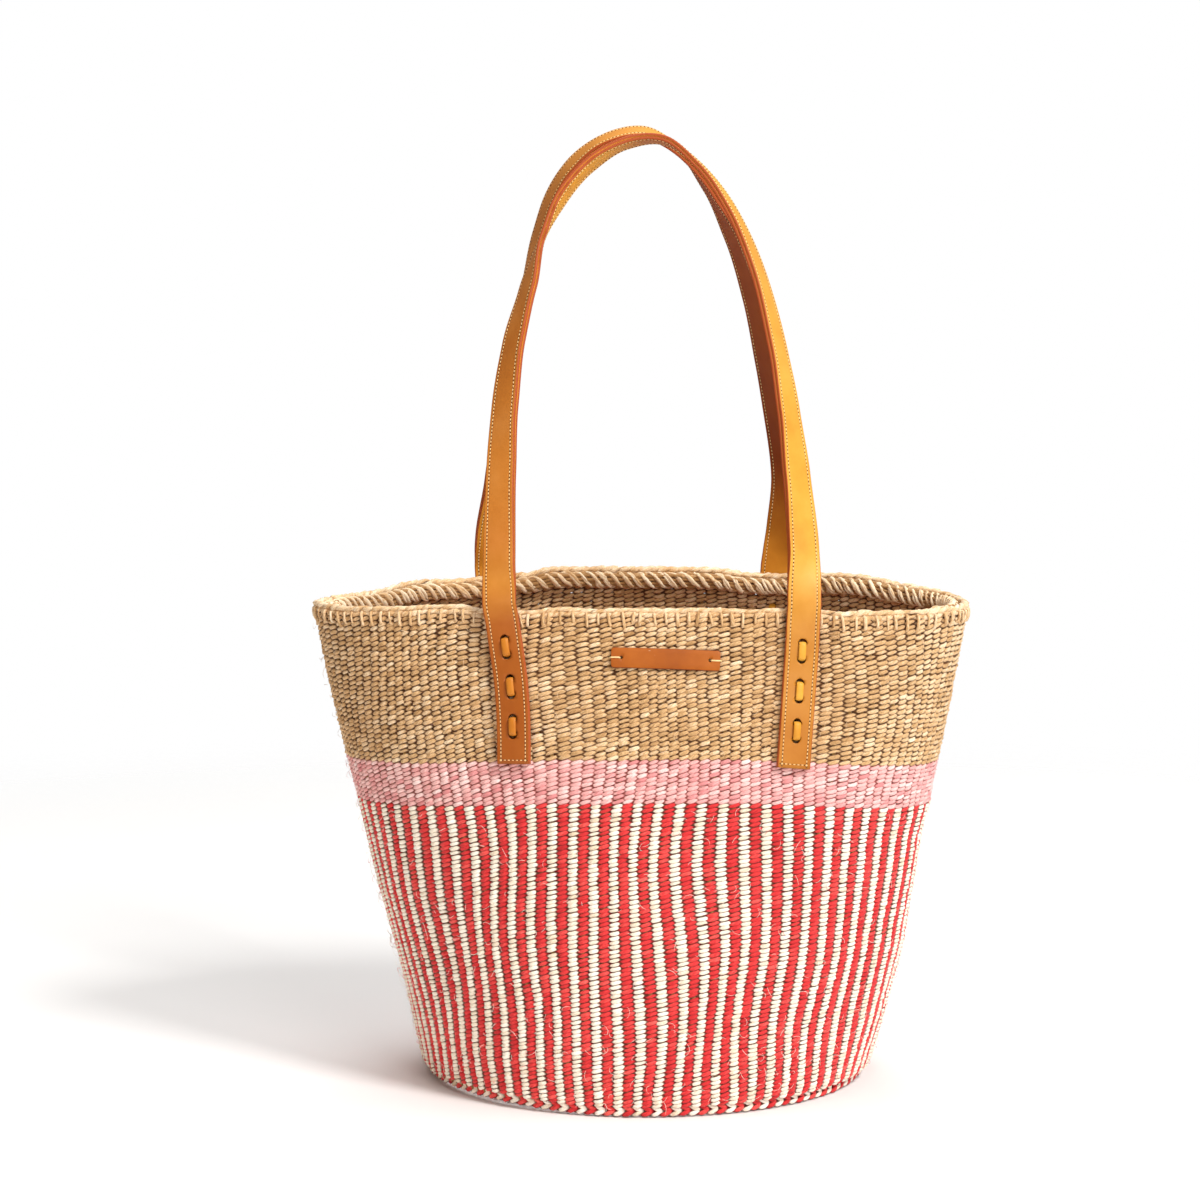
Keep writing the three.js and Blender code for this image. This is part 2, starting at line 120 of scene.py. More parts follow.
camera_data = bpy.data.cameras.new("photo_camera")
camera_data.lens = PHOTO_LENS_MM
camera_data.sensor_width = 36
camera = new_object("photo_camera", camera_data)
camera.location = PHOTO_PLACE
camera.rotation_euler = (PHOTO_TILT, 0, 0)
bpy.context.scene.camera = camera
bpy.context.scene.view_settings.view_transform = "Standard"
print("camera at", PHOTO_PLACE, "with a lens of", PHOTO_LENS_MM, "mm")


def soft_lamp(name, place, aim, size, watts, colour=(1, 1, 1)):
    """A square lamp of that size in metres, which looks at the aim."""
    data = bpy.data.lights.new(name, "AREA")
    data.size, data.energy, data.color = size, watts, colour
    lamp = new_object(name, data)
    lamp.location = place
    lamp.rotation_mode = "QUATERNION"
    lamp.rotation_quaternion = Vector(np.subtract(aim, place)).to_track_quat("-Z", "Y")
    print(f"{name}: {watts} W")


soft_lamp("key_lamp", (1.5, -1.8, 2.5), (0, 0, 0.2), 0.8, 84, (1.0, 0.985, 0.96))
soft_lamp("front_fill", (1.0, -2.6, 1.2), (0, 0, 0.25), 0.9, 21, (1.0, 0.98, 0.95))
soft_lamp("overhead_lamp", (-0.1, 0.5, 2.6), (0, 0, 0), 1.6, 36)
soft_lamp("warm_reflector", (-1.5, -1.2, 0.6), (0, 0, 0.2), 0.7, 5, (1.0, 0.7, 0.45))

# %% [markdown]
# ## White room and floor
# The room behind the basket is plain white. The basket itself is lit by a room that is dim on the left and
# brighter on the right, which gives the leather its dark sides. The floor is a disc of matte white paper
# that fades into the white room, so that no horizon shows. It is part of the studio, so it is staged.


# %% Room and floor
def white_room(left, right):
    """Looks white, and lights with one strength from the left and another from the right."""
    world = bpy.data.worlds.new("white_room")
    world.use_nodes = True
    tree = world.node_tree
    tree.nodes.clear()
    direction = add_node(tree, "ShaderNodeTexCoord").outputs["Generated"]
    across = add_node(tree, "ShaderNodeSeparateXYZ", {"Vector": direction}).outputs["X"]
    glow = {"Value": across, "From Min": -1.0, "From Max": 1.0, "To Min": left, "To Max": right}
    glow = add_node(tree, "ShaderNodeMapRange", glow).outputs[0]
    room = add_node(tree, "ShaderNodeBackground", {"Color": (1, 0.985, 0.965, 1), "Strength": glow}).outputs[0]
    white = add_node(tree, "ShaderNodeBackground", {"Color": (1, 1, 1, 1), "Strength": 1.0}).outputs[0]
    seen = add_node(tree, "ShaderNodeLightPath").outputs["Is Camera Ray"]
    room = add_node(tree, "ShaderNodeMixShader", {0: seen, 1: room, 2: white}).outputs[0]
    add_node(tree, "ShaderNodeOutputWorld", {"Surface": room})
    return world


def new_material(name):
    """A material, its node tree and its Principled shader."""
    material = bpy.data.materials.new(name)
    material.use_nodes = True
    return material, material.node_tree, material.node_tree.nodes["Principled BSDF"]


def eased(tree, value, low, high, start=0.0, end=1.0):
    """A Map Range node that goes softly from start to end while the value goes from low to high."""
    sizes = {"Value": value, "From Min": low, "From Max": high, "To Min": start, "To Max": end}
    return add_node(tree, "ShaderNodeMapRange", sizes, interpolation_type="SMOOTHSTEP").outputs[0]


def white_paper(fade_start, fade_end):
    """Matte paper that turns clear between two distances from the middle."""
    material, tree, paper = new_material("matte_white_paper")
    fill(tree, paper, {"Base Color": (0.93, 0.93, 0.93, 1), "Roughness": 1.0, "Specular IOR Level": 0.0})
    place = add_node(tree, "ShaderNodeTexCoord").outputs["Object"]
    reach = add_node(tree, "ShaderNodeVectorMath", {0: place}, operation="LENGTH").outputs["Value"]
    faded = eased(tree, reach, fade_start, fade_end)
    clear = add_node(tree, "ShaderNodeBsdfTransparent").outputs[0]
    mixed = add_node(tree, "ShaderNodeMixShader", {0: faded, 1: paper.outputs[0], 2: clear}).outputs[0]
    fill(tree, tree.nodes["Material Output"], {"Surface": mixed})
    return material


FLOOR_RADIUS = 1.3
FLOOR_FADE_START = 0.85
FLOOR_SIDES = 72
bpy.context.scene.world = white_room(0.1, 0.52)
floor_angles = np.linspace(0, 2 * np.pi, FLOOR_SIDES + 1)[:-1]
floor_corners = [(FLOOR_RADIUS * math.cos(a), FLOOR_RADIUS * math.sin(a), 0) for a in floor_angles]
floor_mesh = bpy.data.meshes.new("studio_floor")
floor_mesh.from_pydata(floor_corners, [], [tuple(range(FLOOR_SIDES))])
floor_mesh.materials.append(white_paper(FLOOR_FADE_START, FLOOR_RADIUS))
floor = new_object("studio_floor", floor_mesh)
floor.location.z = -0.0002  # a hair below the basket
print("floor radius, m:", FLOOR_RADIUS)

# %% [markdown]
# ## The shape of the wall
# The base is round and the mouth is a wide oval whose two sides hang a little lower. Every strand of the
# wall needs a place and three directions on that surface: outwards, upwards and sideways. One function
# gives the surface, and a second one finds even steps along a row, because a weaver spaces the warps evenly.

# %% Wall surface
BODY_HEIGHT = 285 * MM
BASE_RADIUS = 130 * MM
RIM_HALF_WIDTH = 190 * MM
RIM_HALF_DEPTH = 96 * MM
FOOT_RADIUS = 10 * MM
WALL_THICKNESS = 5 * MM
WALL_BOTTOM = 5.3 * MM
SIDE_FORWARD = 22 * MM
STRIPED_TOP = 178 * MM
PINK_TOP = 202 * MM
SIDE_SAG = 9  # how much lower the two sides hang half way up, in mm
SIDE_DROP = 7  # and at the rim
SLOPE_STEP = 0.01
HALVINGS = 40
ARC_SAMPLES = 720

# Height in mm and how far the left and the right side of this hand-made wall stand to the right, in mm
LEFT_LEAN = [(0, 0), (80, 0), (100, -0.6), (122, -1.6), (177, -2), (199, -3), (250, -4.4), (285, -3.8)]
RIGHT_LEAN = [(0, 0), (10, 1.5), (45, 2.5), (60, 2.2), (92, 2.4), (112, 0), (133, -1.8), (160, -4.2),
              (176, -3.4), (190, -4.4), (250, -4.4), (285, -4.4)]


def read_table(table, places):
    """Reads a table of (place, value) pairs, also between its rows."""
    return np.interp(places, *np.array(table).T)


def run_along(places):
    """The distance along a row of places, from the first one to each."""
    return np.concatenate([[0], np.cumsum(np.linalg.norm(np.diff(places, axis=0), axis=1))])


def signed_power(value, power):
    return np.sign(value) * np.abs(value) ** power


def wall_point(share, angle):
    """The wall's outer surface at a share of its height and an angle, -90 degrees being the front."""
    share, angle = np.broadcast_arrays(np.asarray(share, float), np.asarray(angle, float))
    half_width = BASE_RADIUS + (RIM_HALF_WIDTH - BASE_RADIUS) * share
    half_depth = BASE_RADIUS + (RIM_HALF_DEPTH - BASE_RADIUS) * share**3
    power = 2 + share * (0.15 + 0.35 * np.cos(angle))
    across = signed_power(np.cos(angle), 2 / power)
    along = signed_power(np.sin(angle), 2 / power)
    height = share * BODY_HEIGHT
    below = np.clip(FOOT_RADIUS - height, 0, FOOT_RADIUS)
    inset = FOOT_RADIUS - np.sqrt(FOOT_RADIUS**2 - below**2)
    rise = np.maximum(height - WALL_BOTTOM, 0) / (BODY_HEIGHT - WALL_BOTTOM)
    drop = (4 * SIDE_SAG * rise * (1 - rise) + SIDE_DROP * rise) * MM
    lean = [read_table(table, height / MM) * MM for table in (LEFT_LEAN, RIGHT_LEAN)]
    lean = np.where(across < 0, *lean) * smoothstep(np.abs(across), 0.55, 0.88)
    return np.stack([
        (half_width - inset) * across + lean,
        (half_depth - inset) * along - SIDE_FORWARD * share * across**2,
        height - drop * across**2,
    ], -1)


# %% Places and directions on the wall
def wall_slopes(share, angle):
    """Which way the surface runs sideways and upwards there."""
    sideways = wall_point(share, angle + SLOPE_STEP) - wall_point(share, angle - SLOPE_STEP)
    return sideways, wall_point(share + SLOPE_STEP, angle) - wall_point(share - SLOPE_STEP, angle)


def wall_frame(share, arc):
    """Place, outward, upward and sideways direction at shares of a row's length from the front middle."""
    angles = (np.arange(ARC_SAMPLES + 1) / ARC_SAMPLES * 2 - 0.5) * np.pi
    reach = run_along(wall_point(share, angles))
    angle = np.interp(np.mod(arc, 1) * reach[-1], reach, angles)
    side, rise = wall_slopes(share, angle)
    side = unit(side)
    out = unit(np.cross(side, rise))
    return wall_point(share, angle), out, np.cross(out, side), side, reach[-1]


def wall_spot(share, x, side):
    """Place and outward direction of the wall at a height share and an x, on the front (-1) or back (1)."""
    low, high = 0.0, math.pi
    for _ in range(HALVINGS):
        middle = (low + high) / 2
        if wall_point(share, side * middle)[0] > x:
            low = middle
        else:
            high = middle
    angle = side * low
    return wall_point(share, angle), unit(np.cross(*wall_slopes(share, angle)))


print("mouth, mm:", np.round(np.ptp(wall_point(1, np.linspace(0, 2 * np.pi, 721)), axis=0) / MM, 1))

# %% [markdown]
# ## What the hand leaves in the weave
# Handwork is never quite even. The columns of stitches wander, the rows rise and fall by less than a
# millimetre, and the wall swells and dips. A sum of a few slow waves with fixed random phases does this,
# and it closes on itself round the basket.


# %% Slow waves
WAVES = 6


def hand_wave(seed, arc, share, rounds, climbs):
    """A smooth wandering value round the basket (arc 0 to 1) and up it (share 0 to 1), about -1 to 1."""
    rng = np.random.default_rng(seed)
    total = 0
    for _ in range(WAVES):
        around, climb = rng.integers(1, rounds + 1), rng.uniform(-climbs, climbs)
        total = total + np.sin(2 * np.pi * (around * arc + climb * share + rng.uniform()))
    return total / math.sqrt(WAVES)


print("one wave at the front, foot to rim:", np.round(hand_wave(3, 0, np.linspace(0, 1, 5), 5, 1.6), 2))

# %% [markdown]
# ## The twine tree
# A twined row is two strands that turn round each other, half a turn from one warp to the next, so each
# strand passes in front of one warp and behind the next. The guide of a row is a plain ring with a few
# attributes: its outward and upward directions, and how many half turns it has made. The Geometry Nodes
# tree swings the guide out and up by that turn, makes it thick where it passes a warp and thin where it
# dives between two, and sweeps a small round section along it. The same tree, with other sizes, makes the
# rolled hem, the braid at the foot, and every plain cord, whose swing is nothing.


# %% Tree helpers
def new_tree(name, inputs, result):
    """A Geometry Nodes tree with named inputs of these kinds and one geometry as its result."""
    tree = bpy.data.node_groups.new(name, "GeometryNodeTree")
    for socket, kind in inputs.items():
        tree.interface.new_socket(socket, in_out="INPUT", socket_type="NodeSocket" + kind)
    tree.interface.new_socket(result, in_out="OUTPUT", socket_type="NodeSocketGeometry")
    return tree, add_node(tree, "NodeGroupInput").outputs


def point_attribute(tree, name, data_type="FLOAT"):
    """What the tree reads from each point of its guide."""
    node = add_node(tree, "GeometryNodeInputNamedAttribute", {"Name": name}, data_type=data_type)
    return node.outputs[0]


def calculate(tree, operation, *numbers):
    """The result of a Math node. Each number is a value or another node's output."""
    return add_node(tree, "ShaderNodeMath", dict(enumerate(numbers)), operation=operation).outputs[0]


# %% Twine tree
def twine_tree():
    """Swings a guide by its turn and sweeps a round section along it."""
    inputs = {"Guide": "Geometry", "Swing out": "Float", "Swing up": "Float", "Thick radius": "Float",
              "Thin radius": "Float", "Sides": "Int", "Finish": "Material"}
    tree, given = new_tree("twine", inputs, "Strands")
    turn = calculate(tree, "MULTIPLY", point_attribute(tree, "turn"), math.pi)
    swing = [calculate(tree, kind, turn) for kind in ("COSINE", "SINE")]
    shifts = []
    for amount, direction, size in zip(swing, ("outward", "upward"), ("Swing out", "Swing up")):
        reach = calculate(tree, "MULTIPLY", amount, given[size])
        shift = {"Vector": point_attribute(tree, direction, "FLOAT_VECTOR"), "Scale": reach}
        shifts.append(add_node(tree, "ShaderNodeVectorMath", shift, operation="SCALE").outputs[0])
    offset = add_node(tree, "ShaderNodeVectorMath", {0: shifts[0], 1: shifts[1]}).outputs[0]

    bare = calculate(tree, "ABSOLUTE", swing[0])
    radius = eased(tree, bare, 0.0, 1.0, given["Thin radius"], given["Thick radius"])
    radius = calculate(tree, "MULTIPLY", radius, point_attribute(tree, "swell"))

    curve = add_node(tree, "GeometryNodeMeshToCurve", {"Mesh": given["Guide"]}).outputs[0]
    curve = add_node(tree, "GeometryNodeSetPosition", {"Geometry": curve, "Offset": offset}).outputs[0]
    circle = {"Resolution": given["Sides"], "Radius": 1.0}
    section = add_node(tree, "GeometryNodeCurvePrimitiveCircle", circle).outputs[0]
    factor = add_node(tree, "GeometryNodeSplineParameter").outputs["Factor"]
    lap = {"Geometry": section, "Name": "round", "Value": factor}
    section = add_node(tree, "GeometryNodeStoreNamedAttribute", lap).outputs[0]
    sweep = {"Curve": curve, "Profile Curve": section, "Scale": radius, "Fill Caps": True}
    strands = add_node(tree, "GeometryNodeCurveToMesh", sweep).outputs[0]
    strands = add_node(tree, "GeometryNodeSetShadeSmooth", {"Geometry": strands}).outputs[0]
    strands = add_node(tree, "GeometryNodeRealizeInstances", {"Geometry": strands}).outputs[0]
    finish = {"Geometry": strands, "Material": given["Finish"]}
    strands = add_node(tree, "GeometryNodeSetMaterial", finish).outputs[0]
    add_node(tree, "NodeGroupOutput", {"Strands": strands})
    return tree


TWINE = twine_tree()
print("twine tree:", len(TWINE.nodes), "nodes")

# %% [markdown]
# ## From guides to a finished mesh
# A guide is a mesh of points and edges only. After the tree has run, the result is kept as a plain mesh.
# Three things are then written on it. The first is `fibre`, a place measured along and round the strand, so
# that the sisal's fibres can be painted along it. The second is `stand`: how far each point stands off its
# guide outwards, 1 being the crest of a stitch, and up or down, 1 being the crease between two rows. The
# finish reads it to paint shade into the twine's colour where a point lies low and in the creases. The third
# is a texture map that gives every strand its own strip: an automatic unwrap would cut thousands of strands
# into scraps.

# %% Guides
def write_marks(mesh, key, values):
    """Stores a number or a vector for every point of a mesh."""
    kind, field = ("FLOAT_VECTOR", "vector") if np.ndim(values) == 2 else ("FLOAT", "value")
    mesh.attributes.new(key, kind, "POINT").data.foreach_set(field, np.ravel(values))


def guide_mesh(name, lanes, closed):
    """Lanes are dicts of equally long arrays: place, outward, upward, turn, swell, tone and along."""
    sizes = [len(lane["place"]) for lane in lanes]
    starts = np.concatenate([[0], np.cumsum(sizes)])
    edges = []
    for start, size in zip(starts, sizes):
        step = np.arange(size if closed else size - 1)
        edges.append(np.stack([start + step, start + (step + 1) % size], 1))
    edges = np.concatenate(edges)
    mesh = bpy.data.meshes.new(name)
    mesh.vertices.add(starts[-1])
    mesh.edges.add(len(edges))
    mesh.vertices.foreach_set("co", np.concatenate([lane["place"] for lane in lanes]).ravel())
    mesh.edges.foreach_set("vertices", edges.ravel())
    for number, (lane, size) in enumerate(zip(lanes, sizes)):
        lane["home"], lane["lane"] = lane["place"], float(number)
        lane["lap"] = np.arange(size) / (size if closed else size - 1)
    vectors, numbers = ("home", "outward", "upward"), ("turn", "swell", "tone", "along", "lap", "lane")
    for key in vectors + numbers:
        shape = (3,) if key in vectors else ()
        marks = [np.broadcast_to(lane[key], (size, *shape)) for lane, size in zip(lanes, sizes)]
        write_marks(mesh, key, np.concatenate(marks))
    return mesh


# %% Crests and creases
ROW_HEIGHT = 2.54 * MM


def read_marks(mesh, key):
    """Reads back what a mesh holds for every point."""
    marks = mesh.attributes[key]
    numbers = 3 if marks.data_type == "FLOAT_VECTOR" else 1
    values = np.empty(numbers * len(mesh.vertices))
    marks.data.foreach_get("vector" if numbers == 3 else "value", values)
    return values.reshape(-1, 3) if numbers == 3 else values


def stand_off(mesh, swing, radius, both_ways):
    """How far each point stands off its guide, outwards and upwards, as shares of a crest and of a crease."""
    away = read_marks(mesh, "position") - read_marks(mesh, "home")
    lift = np.sum(away * read_marks(mesh, "outward"), 1) / (swing[0] + radius)
    climb = np.sum(away * read_marks(mesh, "upward"), 1)
    if both_ways:
        return np.stack([np.hypot(lift, climb / (swing[1] + radius)), 0 * lift, 0 * lift], 1)
    climb = climb - swing[1] * np.sin(np.pi * read_marks(mesh, "turn"))
    return np.stack([lift, climb / (ROW_HEIGHT / 2), 0 * lift], 1)


# %% Fibres and texture map
TWIST_PITCH = 16 * MM  # the fibres of a spun strand wind round it once in this length
STREAK_SHIFT = 0.137  # each strand reads its streaks this many metres further on than the one before
TUBE_SHARE = 0.88  # how much of its strip an open strand's tube fills; the two caps lie beyond it


def map_strands(mesh, count, closed, columns, section_radius):
    """Writes the fibre attribute and the strips of the OFBake map, then drops what only the tree needed."""
    corners = np.empty(len(mesh.loops), np.int32)
    mesh.loops.foreach_get("vertex_index", corners)
    sizes = np.empty(len(mesh.polygons), np.int32)
    mesh.polygons.foreach_get("loop_total", sizes)
    starts = np.concatenate([[0], np.cumsum(sizes)[:-1]])
    values = {key: read_marks(mesh, key) for key in ("lap", "round", "lane", "along")}
    turned = 2 * np.pi * (values["round"] + values["along"] / TWIST_PITCH)
    write_marks(mesh, "fibre", np.stack([
        values["along"] + STREAK_SHIFT * values["lane"],
        section_radius * np.cos(turned),
        section_radius * np.sin(turned),
    ], 1))
    lap, around, lane = (values[key][corners] for key in ("lap", "round", "lane"))
    capped = np.repeat(sizes, sizes) != 4
    for value, wraps in ((lap, closed), (around, True)):
        spread = np.maximum.reduceat(value, starts) - np.minimum.reduceat(value, starts)
        over = np.repeat(spread > 0.5, sizes) & (value < 0.5) & ~capped & wraps
        value[over] += 1
    rows = math.ceil(count / columns)
    tube = 1.0 if closed else TUBE_SHARE
    turned = 2 * np.pi * around
    u = np.where(capped, 0.91 + 0.07 * lap + 0.012 * np.cos(turned), lap * tube)
    v = np.where(capped, 0.5 + 0.35 * np.sin(turned), 0.06 + 0.88 * around)
    u, v = (lane % columns + 0.01 + 0.98 * u) / columns, (lane // columns + v) / rows
    corner_places = np.stack([u, v], 1).astype(np.float32)
    mesh.uv_layers.new(name="OFBake").uv.foreach_set("vector", corner_places.ravel())
    for key in ("lap", "round", "lane", "along", "home", "outward", "upward", "turn", "swell"):
        mesh.attributes.remove(mesh.attributes[key])


# %% Growing a piece
def keep_result(piece):
    """Gives a piece the mesh that its modifiers make, and returns the mesh that it had before."""
    made = bpy.data.meshes.new_from_object(piece.evaluated_get(bpy.context.evaluated_depsgraph_get()))
    before = piece.data
    piece.modifiers.clear()
    piece.data = made
    made.name = piece.name
    return before


def grow(name, tree, lanes, closed, sizes):
    """Runs a tree over guides and keeps what it makes as a plain mesh."""
    piece = new_object(name, guide_mesh(name + "_guide", lanes, closed))
    modifier = piece.modifiers.new(tree.name, "NODES")
    modifier.node_group = tree
    for socket in tree.interface.items_tree:
        if socket.name in sizes:
            modifier[socket.identifier] = sizes[socket.name]
    bpy.data.meshes.remove(keep_result(piece))
    return piece


def twine(name, lanes, finish, node, radius, swing=(0, 0), sides=5, closed=True, columns=1,
          both_ways=False):
    """Makes one piece of strands, which rides on the basket and takes the place of a CAD node."""
    sizes = {"Swing out": swing[0], "Swing up": swing[1], "Thick radius": radius[0],
             "Thin radius": radius[1], "Sides": sides, "Finish": finish}
    piece = grow(name, TWINE, lanes, closed, sizes)
    mesh = piece.data
    stand = np.tile([1.0, 0.0, 0.0], (len(mesh.vertices), 1))
    if swing[0] > 0:
        stand = stand_off(mesh, swing, radius[0], both_ways)
    write_marks(mesh, "stand", stand)
    map_strands(mesh, len(lanes), closed, columns, radius[0])
    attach(piece, "basket")
    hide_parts(node)
    print(f"{name}: {len(lanes)} strands, {sum(len(p.vertices) - 2 for p in mesh.polygons)} triangles")


# %% [markdown]
# ## Sisal
# Sisal is a stiff leaf fibre, rolled into strands on the thigh and twined tightly. It is matte, with a faint
# sheen along the fibres, and each stitch takes dye and light a little differently. The finish reads three
# attributes: `tone`, one value for each stitch, `fibre`, along which the streaks are drawn, and `stand`,
# with which it paints shade into the gaps, where a stitch dives and between two rows. Real fibres are
# 0.2 mm wide, too fine to show here, so the streaks are drawn 0.45 mm wide.

# %% Shader helpers
def attribute(tree, name, output="Fac"):
    """What a material reads from the marks on its mesh."""
    return add_node(tree, "ShaderNodeAttribute", attribute_name=name).outputs[output]


def colour_ramp(tree, value, *stops):
    """Colours at their places from 0 to 1, and the value mixes between them."""
    ramp = add_node(tree, "ShaderNodeValToRGB", {"Fac": value})
    elements = ramp.color_ramp.elements
    for element, (place, colour) in zip(elements, (stops[0], stops[-1])):
        element.position, element.color = place, linear(colour)
    for place, colour in stops[1:-1]:
        elements.new(place).color = linear(colour)
    return ramp.outputs[0]


def mix_colours(tree, factor, first, second, way="MIX"):
    """The first colour where the factor is 0 and the second one, or both multiplied, where it is 1."""
    colours = {"Factor": factor, 6: first, 7: second}
    return add_node(tree, "ShaderNodeMix", colours, data_type="RGBA", blend_type=way).outputs[2]


def relief(tree, height, strength, distance, before=None):
    """A Bump node, on top of the relief before it."""
    sizes = {"Height": height, "Strength": strength, "Distance": distance}
    if before is not None:
        sizes["Normal"] = before
    return add_node(tree, "ShaderNodeBump", sizes).outputs[0]


# %% Sisal finish
STREAK_LENGTH = 3.5 * MM
STREAK_WIDTH = 0.45 * MM
FIBRE_RELIEF = 0.16 * MM
# Painted shade: between these shares of a crest, and of a crease, a stitch's colour fades into the gap colour
CREST_RANGE = (0.24, 0.6)
CREASE_RANGE = (0.76, 0.98)
CREASE_SHADE = 0.95


def twined_sisal(name, gap, shade, body, light):
    """Four colours: the painted shade in the gaps between stitches, and the dark, the usual and the light of a
    stitch.
    """
    material, tree, shader = new_material(name)
    fibre = attribute(tree, "fibre", "Vector")
    scale = (1 / STREAK_LENGTH, 1 / STREAK_WIDTH, 1 / STREAK_WIDTH)
    stretched = add_node(tree, "ShaderNodeMapping", {"Vector": fibre, "Scale": scale}).outputs[0]
    streak = {"Vector": stretched, "Scale": 1.0, "Detail": 2.0}
    streak = add_node(tree, "ShaderNodeTexNoise", streak).outputs[0]
    toned = calculate(tree, "MULTIPLY_ADD", streak, 1.0, attribute(tree, "tone"))
    dyed = colour_ramp(tree, toned, (0.12, shade), (0.5, body), (0.95, light))
    stand = attribute(tree, "stand", "Vector")
    stand = add_node(tree, "ShaderNodeVectorMath", {0: stand}, operation="ABSOLUTE").outputs[0]
    stand = add_node(tree, "ShaderNodeSeparateXYZ", {"Vector": stand}).outputs
    crest = eased(tree, stand["X"], *CREST_RANGE)
    crease = eased(tree, stand["Y"], *CREASE_RANGE, 1.0, 1 - CREASE_SHADE)
    lit = calculate(tree, "MULTIPLY", crest, crease)
    fill(tree, shader, {
        "Base Color": mix_colours(tree, lit, linear(gap), dyed),
        "Normal": relief(tree, streak, 0.8, FIBRE_RELIEF),
        "Roughness": 0.78, "Specular IOR Level": 0.35,
        "Sheen Weight": 0.12, "Sheen Roughness": 0.5,
    })
    return material


# The first colour of each finish is the painted shade in the gaps between stitches.
natural_sisal = twined_sisal("undyed_twined_sisal", "#60391A", "#A27644", "#D8AF7C", "#FFEED0")
pink_sisal = twined_sisal("pink_dyed_sisal", "#94463E", "#DA8C8C", "#EEB6B2", "#FFE4E0")
red_sisal = twined_sisal("red_dyed_sisal", "#8A1218", "#B81A20", "#DE3234", "#F66E64")
cream_sisal = twined_sisal("pale_bleached_sisal", "#6C4630", "#DCC8AA", "#F9F0DF", "#FFFCF4")
warp_sisal = twined_sisal("brown_warp_cord", "#4E3418", "#6E4C28", "#94703E", "#B8925A")
print("sisal finishes:", [m.name for m in (natural_sisal, pink_sisal, red_sisal, cream_sisal, warp_sisal)])

# %% [markdown]
# ## The rows of the wall
# There are 148 warps, an even number, so a red strand that starts in front of one warp comes out in front
# of the same warp in every row, and the two colours stand in upright stripes. The striped rows use one red
# and one cream strand, and the pink and the undyed rows two strands of one colour.

# %% Unevenness of the wall
WARPS = 148
WARP_STEPS = 4
MIDDLE_DEPTH = 2.5 * MM
BULGE = 1.7 * MM
ROW_WAVE, ROW_RIPPLE = 0.45 * MM, 0.2 * MM
COLUMN_WANDER, COLUMN_JOG = 0.42, 0.18  # in warps
along_warps = WARPS / 2 + np.arange(WARPS * WARP_STEPS) / WARP_STEPS  # the joins lie at the back
weave_random = np.random.default_rng(11)

# How the rim rises and dips, in mm, at shares of the way round from the front middle to the right
RIM_RISE = [
    (0.022, -0.8), (0.05, -0.4), (0.086, -1.7), (0.108, -1.7), (0.145, 0.0), (0.178, 1.6), (0.197, 2.3),
    (0.284, 2.0), (0.3, 2.2), (0.323, 2.6), (0.345, 4.3), (0.367, 4.8), (0.388, 4.1), (0.407, 1.9),
    (0.423, 1.1), (0.443, 1.6), (0.461, 2.0), (0.51, 1.9), (0.565, 2.5), (0.585, 1.5), (0.603, -0.4),
    (0.62, -0.6), (0.639, 1.1), (0.651, 1.9), (0.663, 1.5), (0.686, -1.2), (0.712, -0.8), (0.743, 0.6),
    (0.767, 2.0), (0.807, 0.7), (0.85, 0.6), (0.878, 2.7), (0.911, 3.0), (0.936, 2.2), (0.972, -0.3),
    (0.995, -1.4),
]
# How far the foot stands off the floor, which it doesn't touch at its left front
FOOT_RISE = [
    (0.0, 0), (0.6, 0), (0.7, 0.4), (0.8, 1.3), (0.84, 1.7), (0.88, 1.7), (0.905, 1.4), (0.94, 0.3),
    (0.97, 0),
]
# Strap ends and label on the wall: side, and in mm the x, the half width and the lower edge
HELD_FLAT = [(-1, -77, 13, 190), (-1, 83, 13, 190), (1, -87, 13, 190), (1, 75, 13, 190), (-1, 10, 32, 243)]


def rise_round(table, arc):
    """Reads such a table at shares of the way round, with its corners rounded off."""
    shares, rises = np.array(table).T
    nearby = np.asarray(arc, float)[..., None] + np.linspace(-0.008, 0.008, 5)
    return np.interp(np.mod(nearby, 1), shares, rises, period=1).mean(-1) * MM


def wall_lift(place, arc, share):
    """How far the wall swells outwards and how far its rows rise. It lies flat under the leather."""
    loose = 1.0
    for side, *sizes in HELD_FLAT:
        x, half_width, bottom = np.multiply(sizes, MM)
        over = 1 - smoothstep(np.abs(place[:, 0] - x), half_width, half_width + 18 * MM)
        over = over * (place[:, 1] * side > 0)
        loose = loose * (1 - over * smoothstep(place[:, 2], bottom - 16 * MM, bottom))
    swell = BULGE * hand_wave(3, arc, share, 5, 1.6) * smoothstep(share, 0.0, 0.25)
    rise = ROW_WAVE * hand_wave(5, arc, share, 9, 1.2) + ROW_RIPPLE * hand_wave(31, arc, share, 26, 3)
    rim = rise_round(RIM_RISE, arc) * smoothstep(share, 0.8, 1.0)
    foot = rise_round(FOOT_RISE, arc) * (1 - smoothstep(share, 0.02, 0.25))
    return swell * loose, rise * smoothstep(share, 0.0, 0.1) + rim * loose + foot


def wander(arc, share):
    """How far, in warps, a column of stitches strays sideways."""
    slow = COLUMN_WANDER * hand_wave(7, arc, share, 7, 2.2)
    quick = COLUMN_JOG * hand_wave(17, arc, share, 14, 3.5)
    return slow * smoothstep(share, 0.02, 0.2) + quick * smoothstep(share, 0.02, 0.1)


# %% Wall rows
NATURAL_TOP = 280 * MM
# How much single stitches differ: upwards, sideways, in thickness and in tone
STITCH_UP, STITCH_ASIDE, STITCH_SWELL, STITCH_TONE = 0.14 * MM, 0.25 * MM, 0.1, 0.09
TONE_WAVE = 0.05


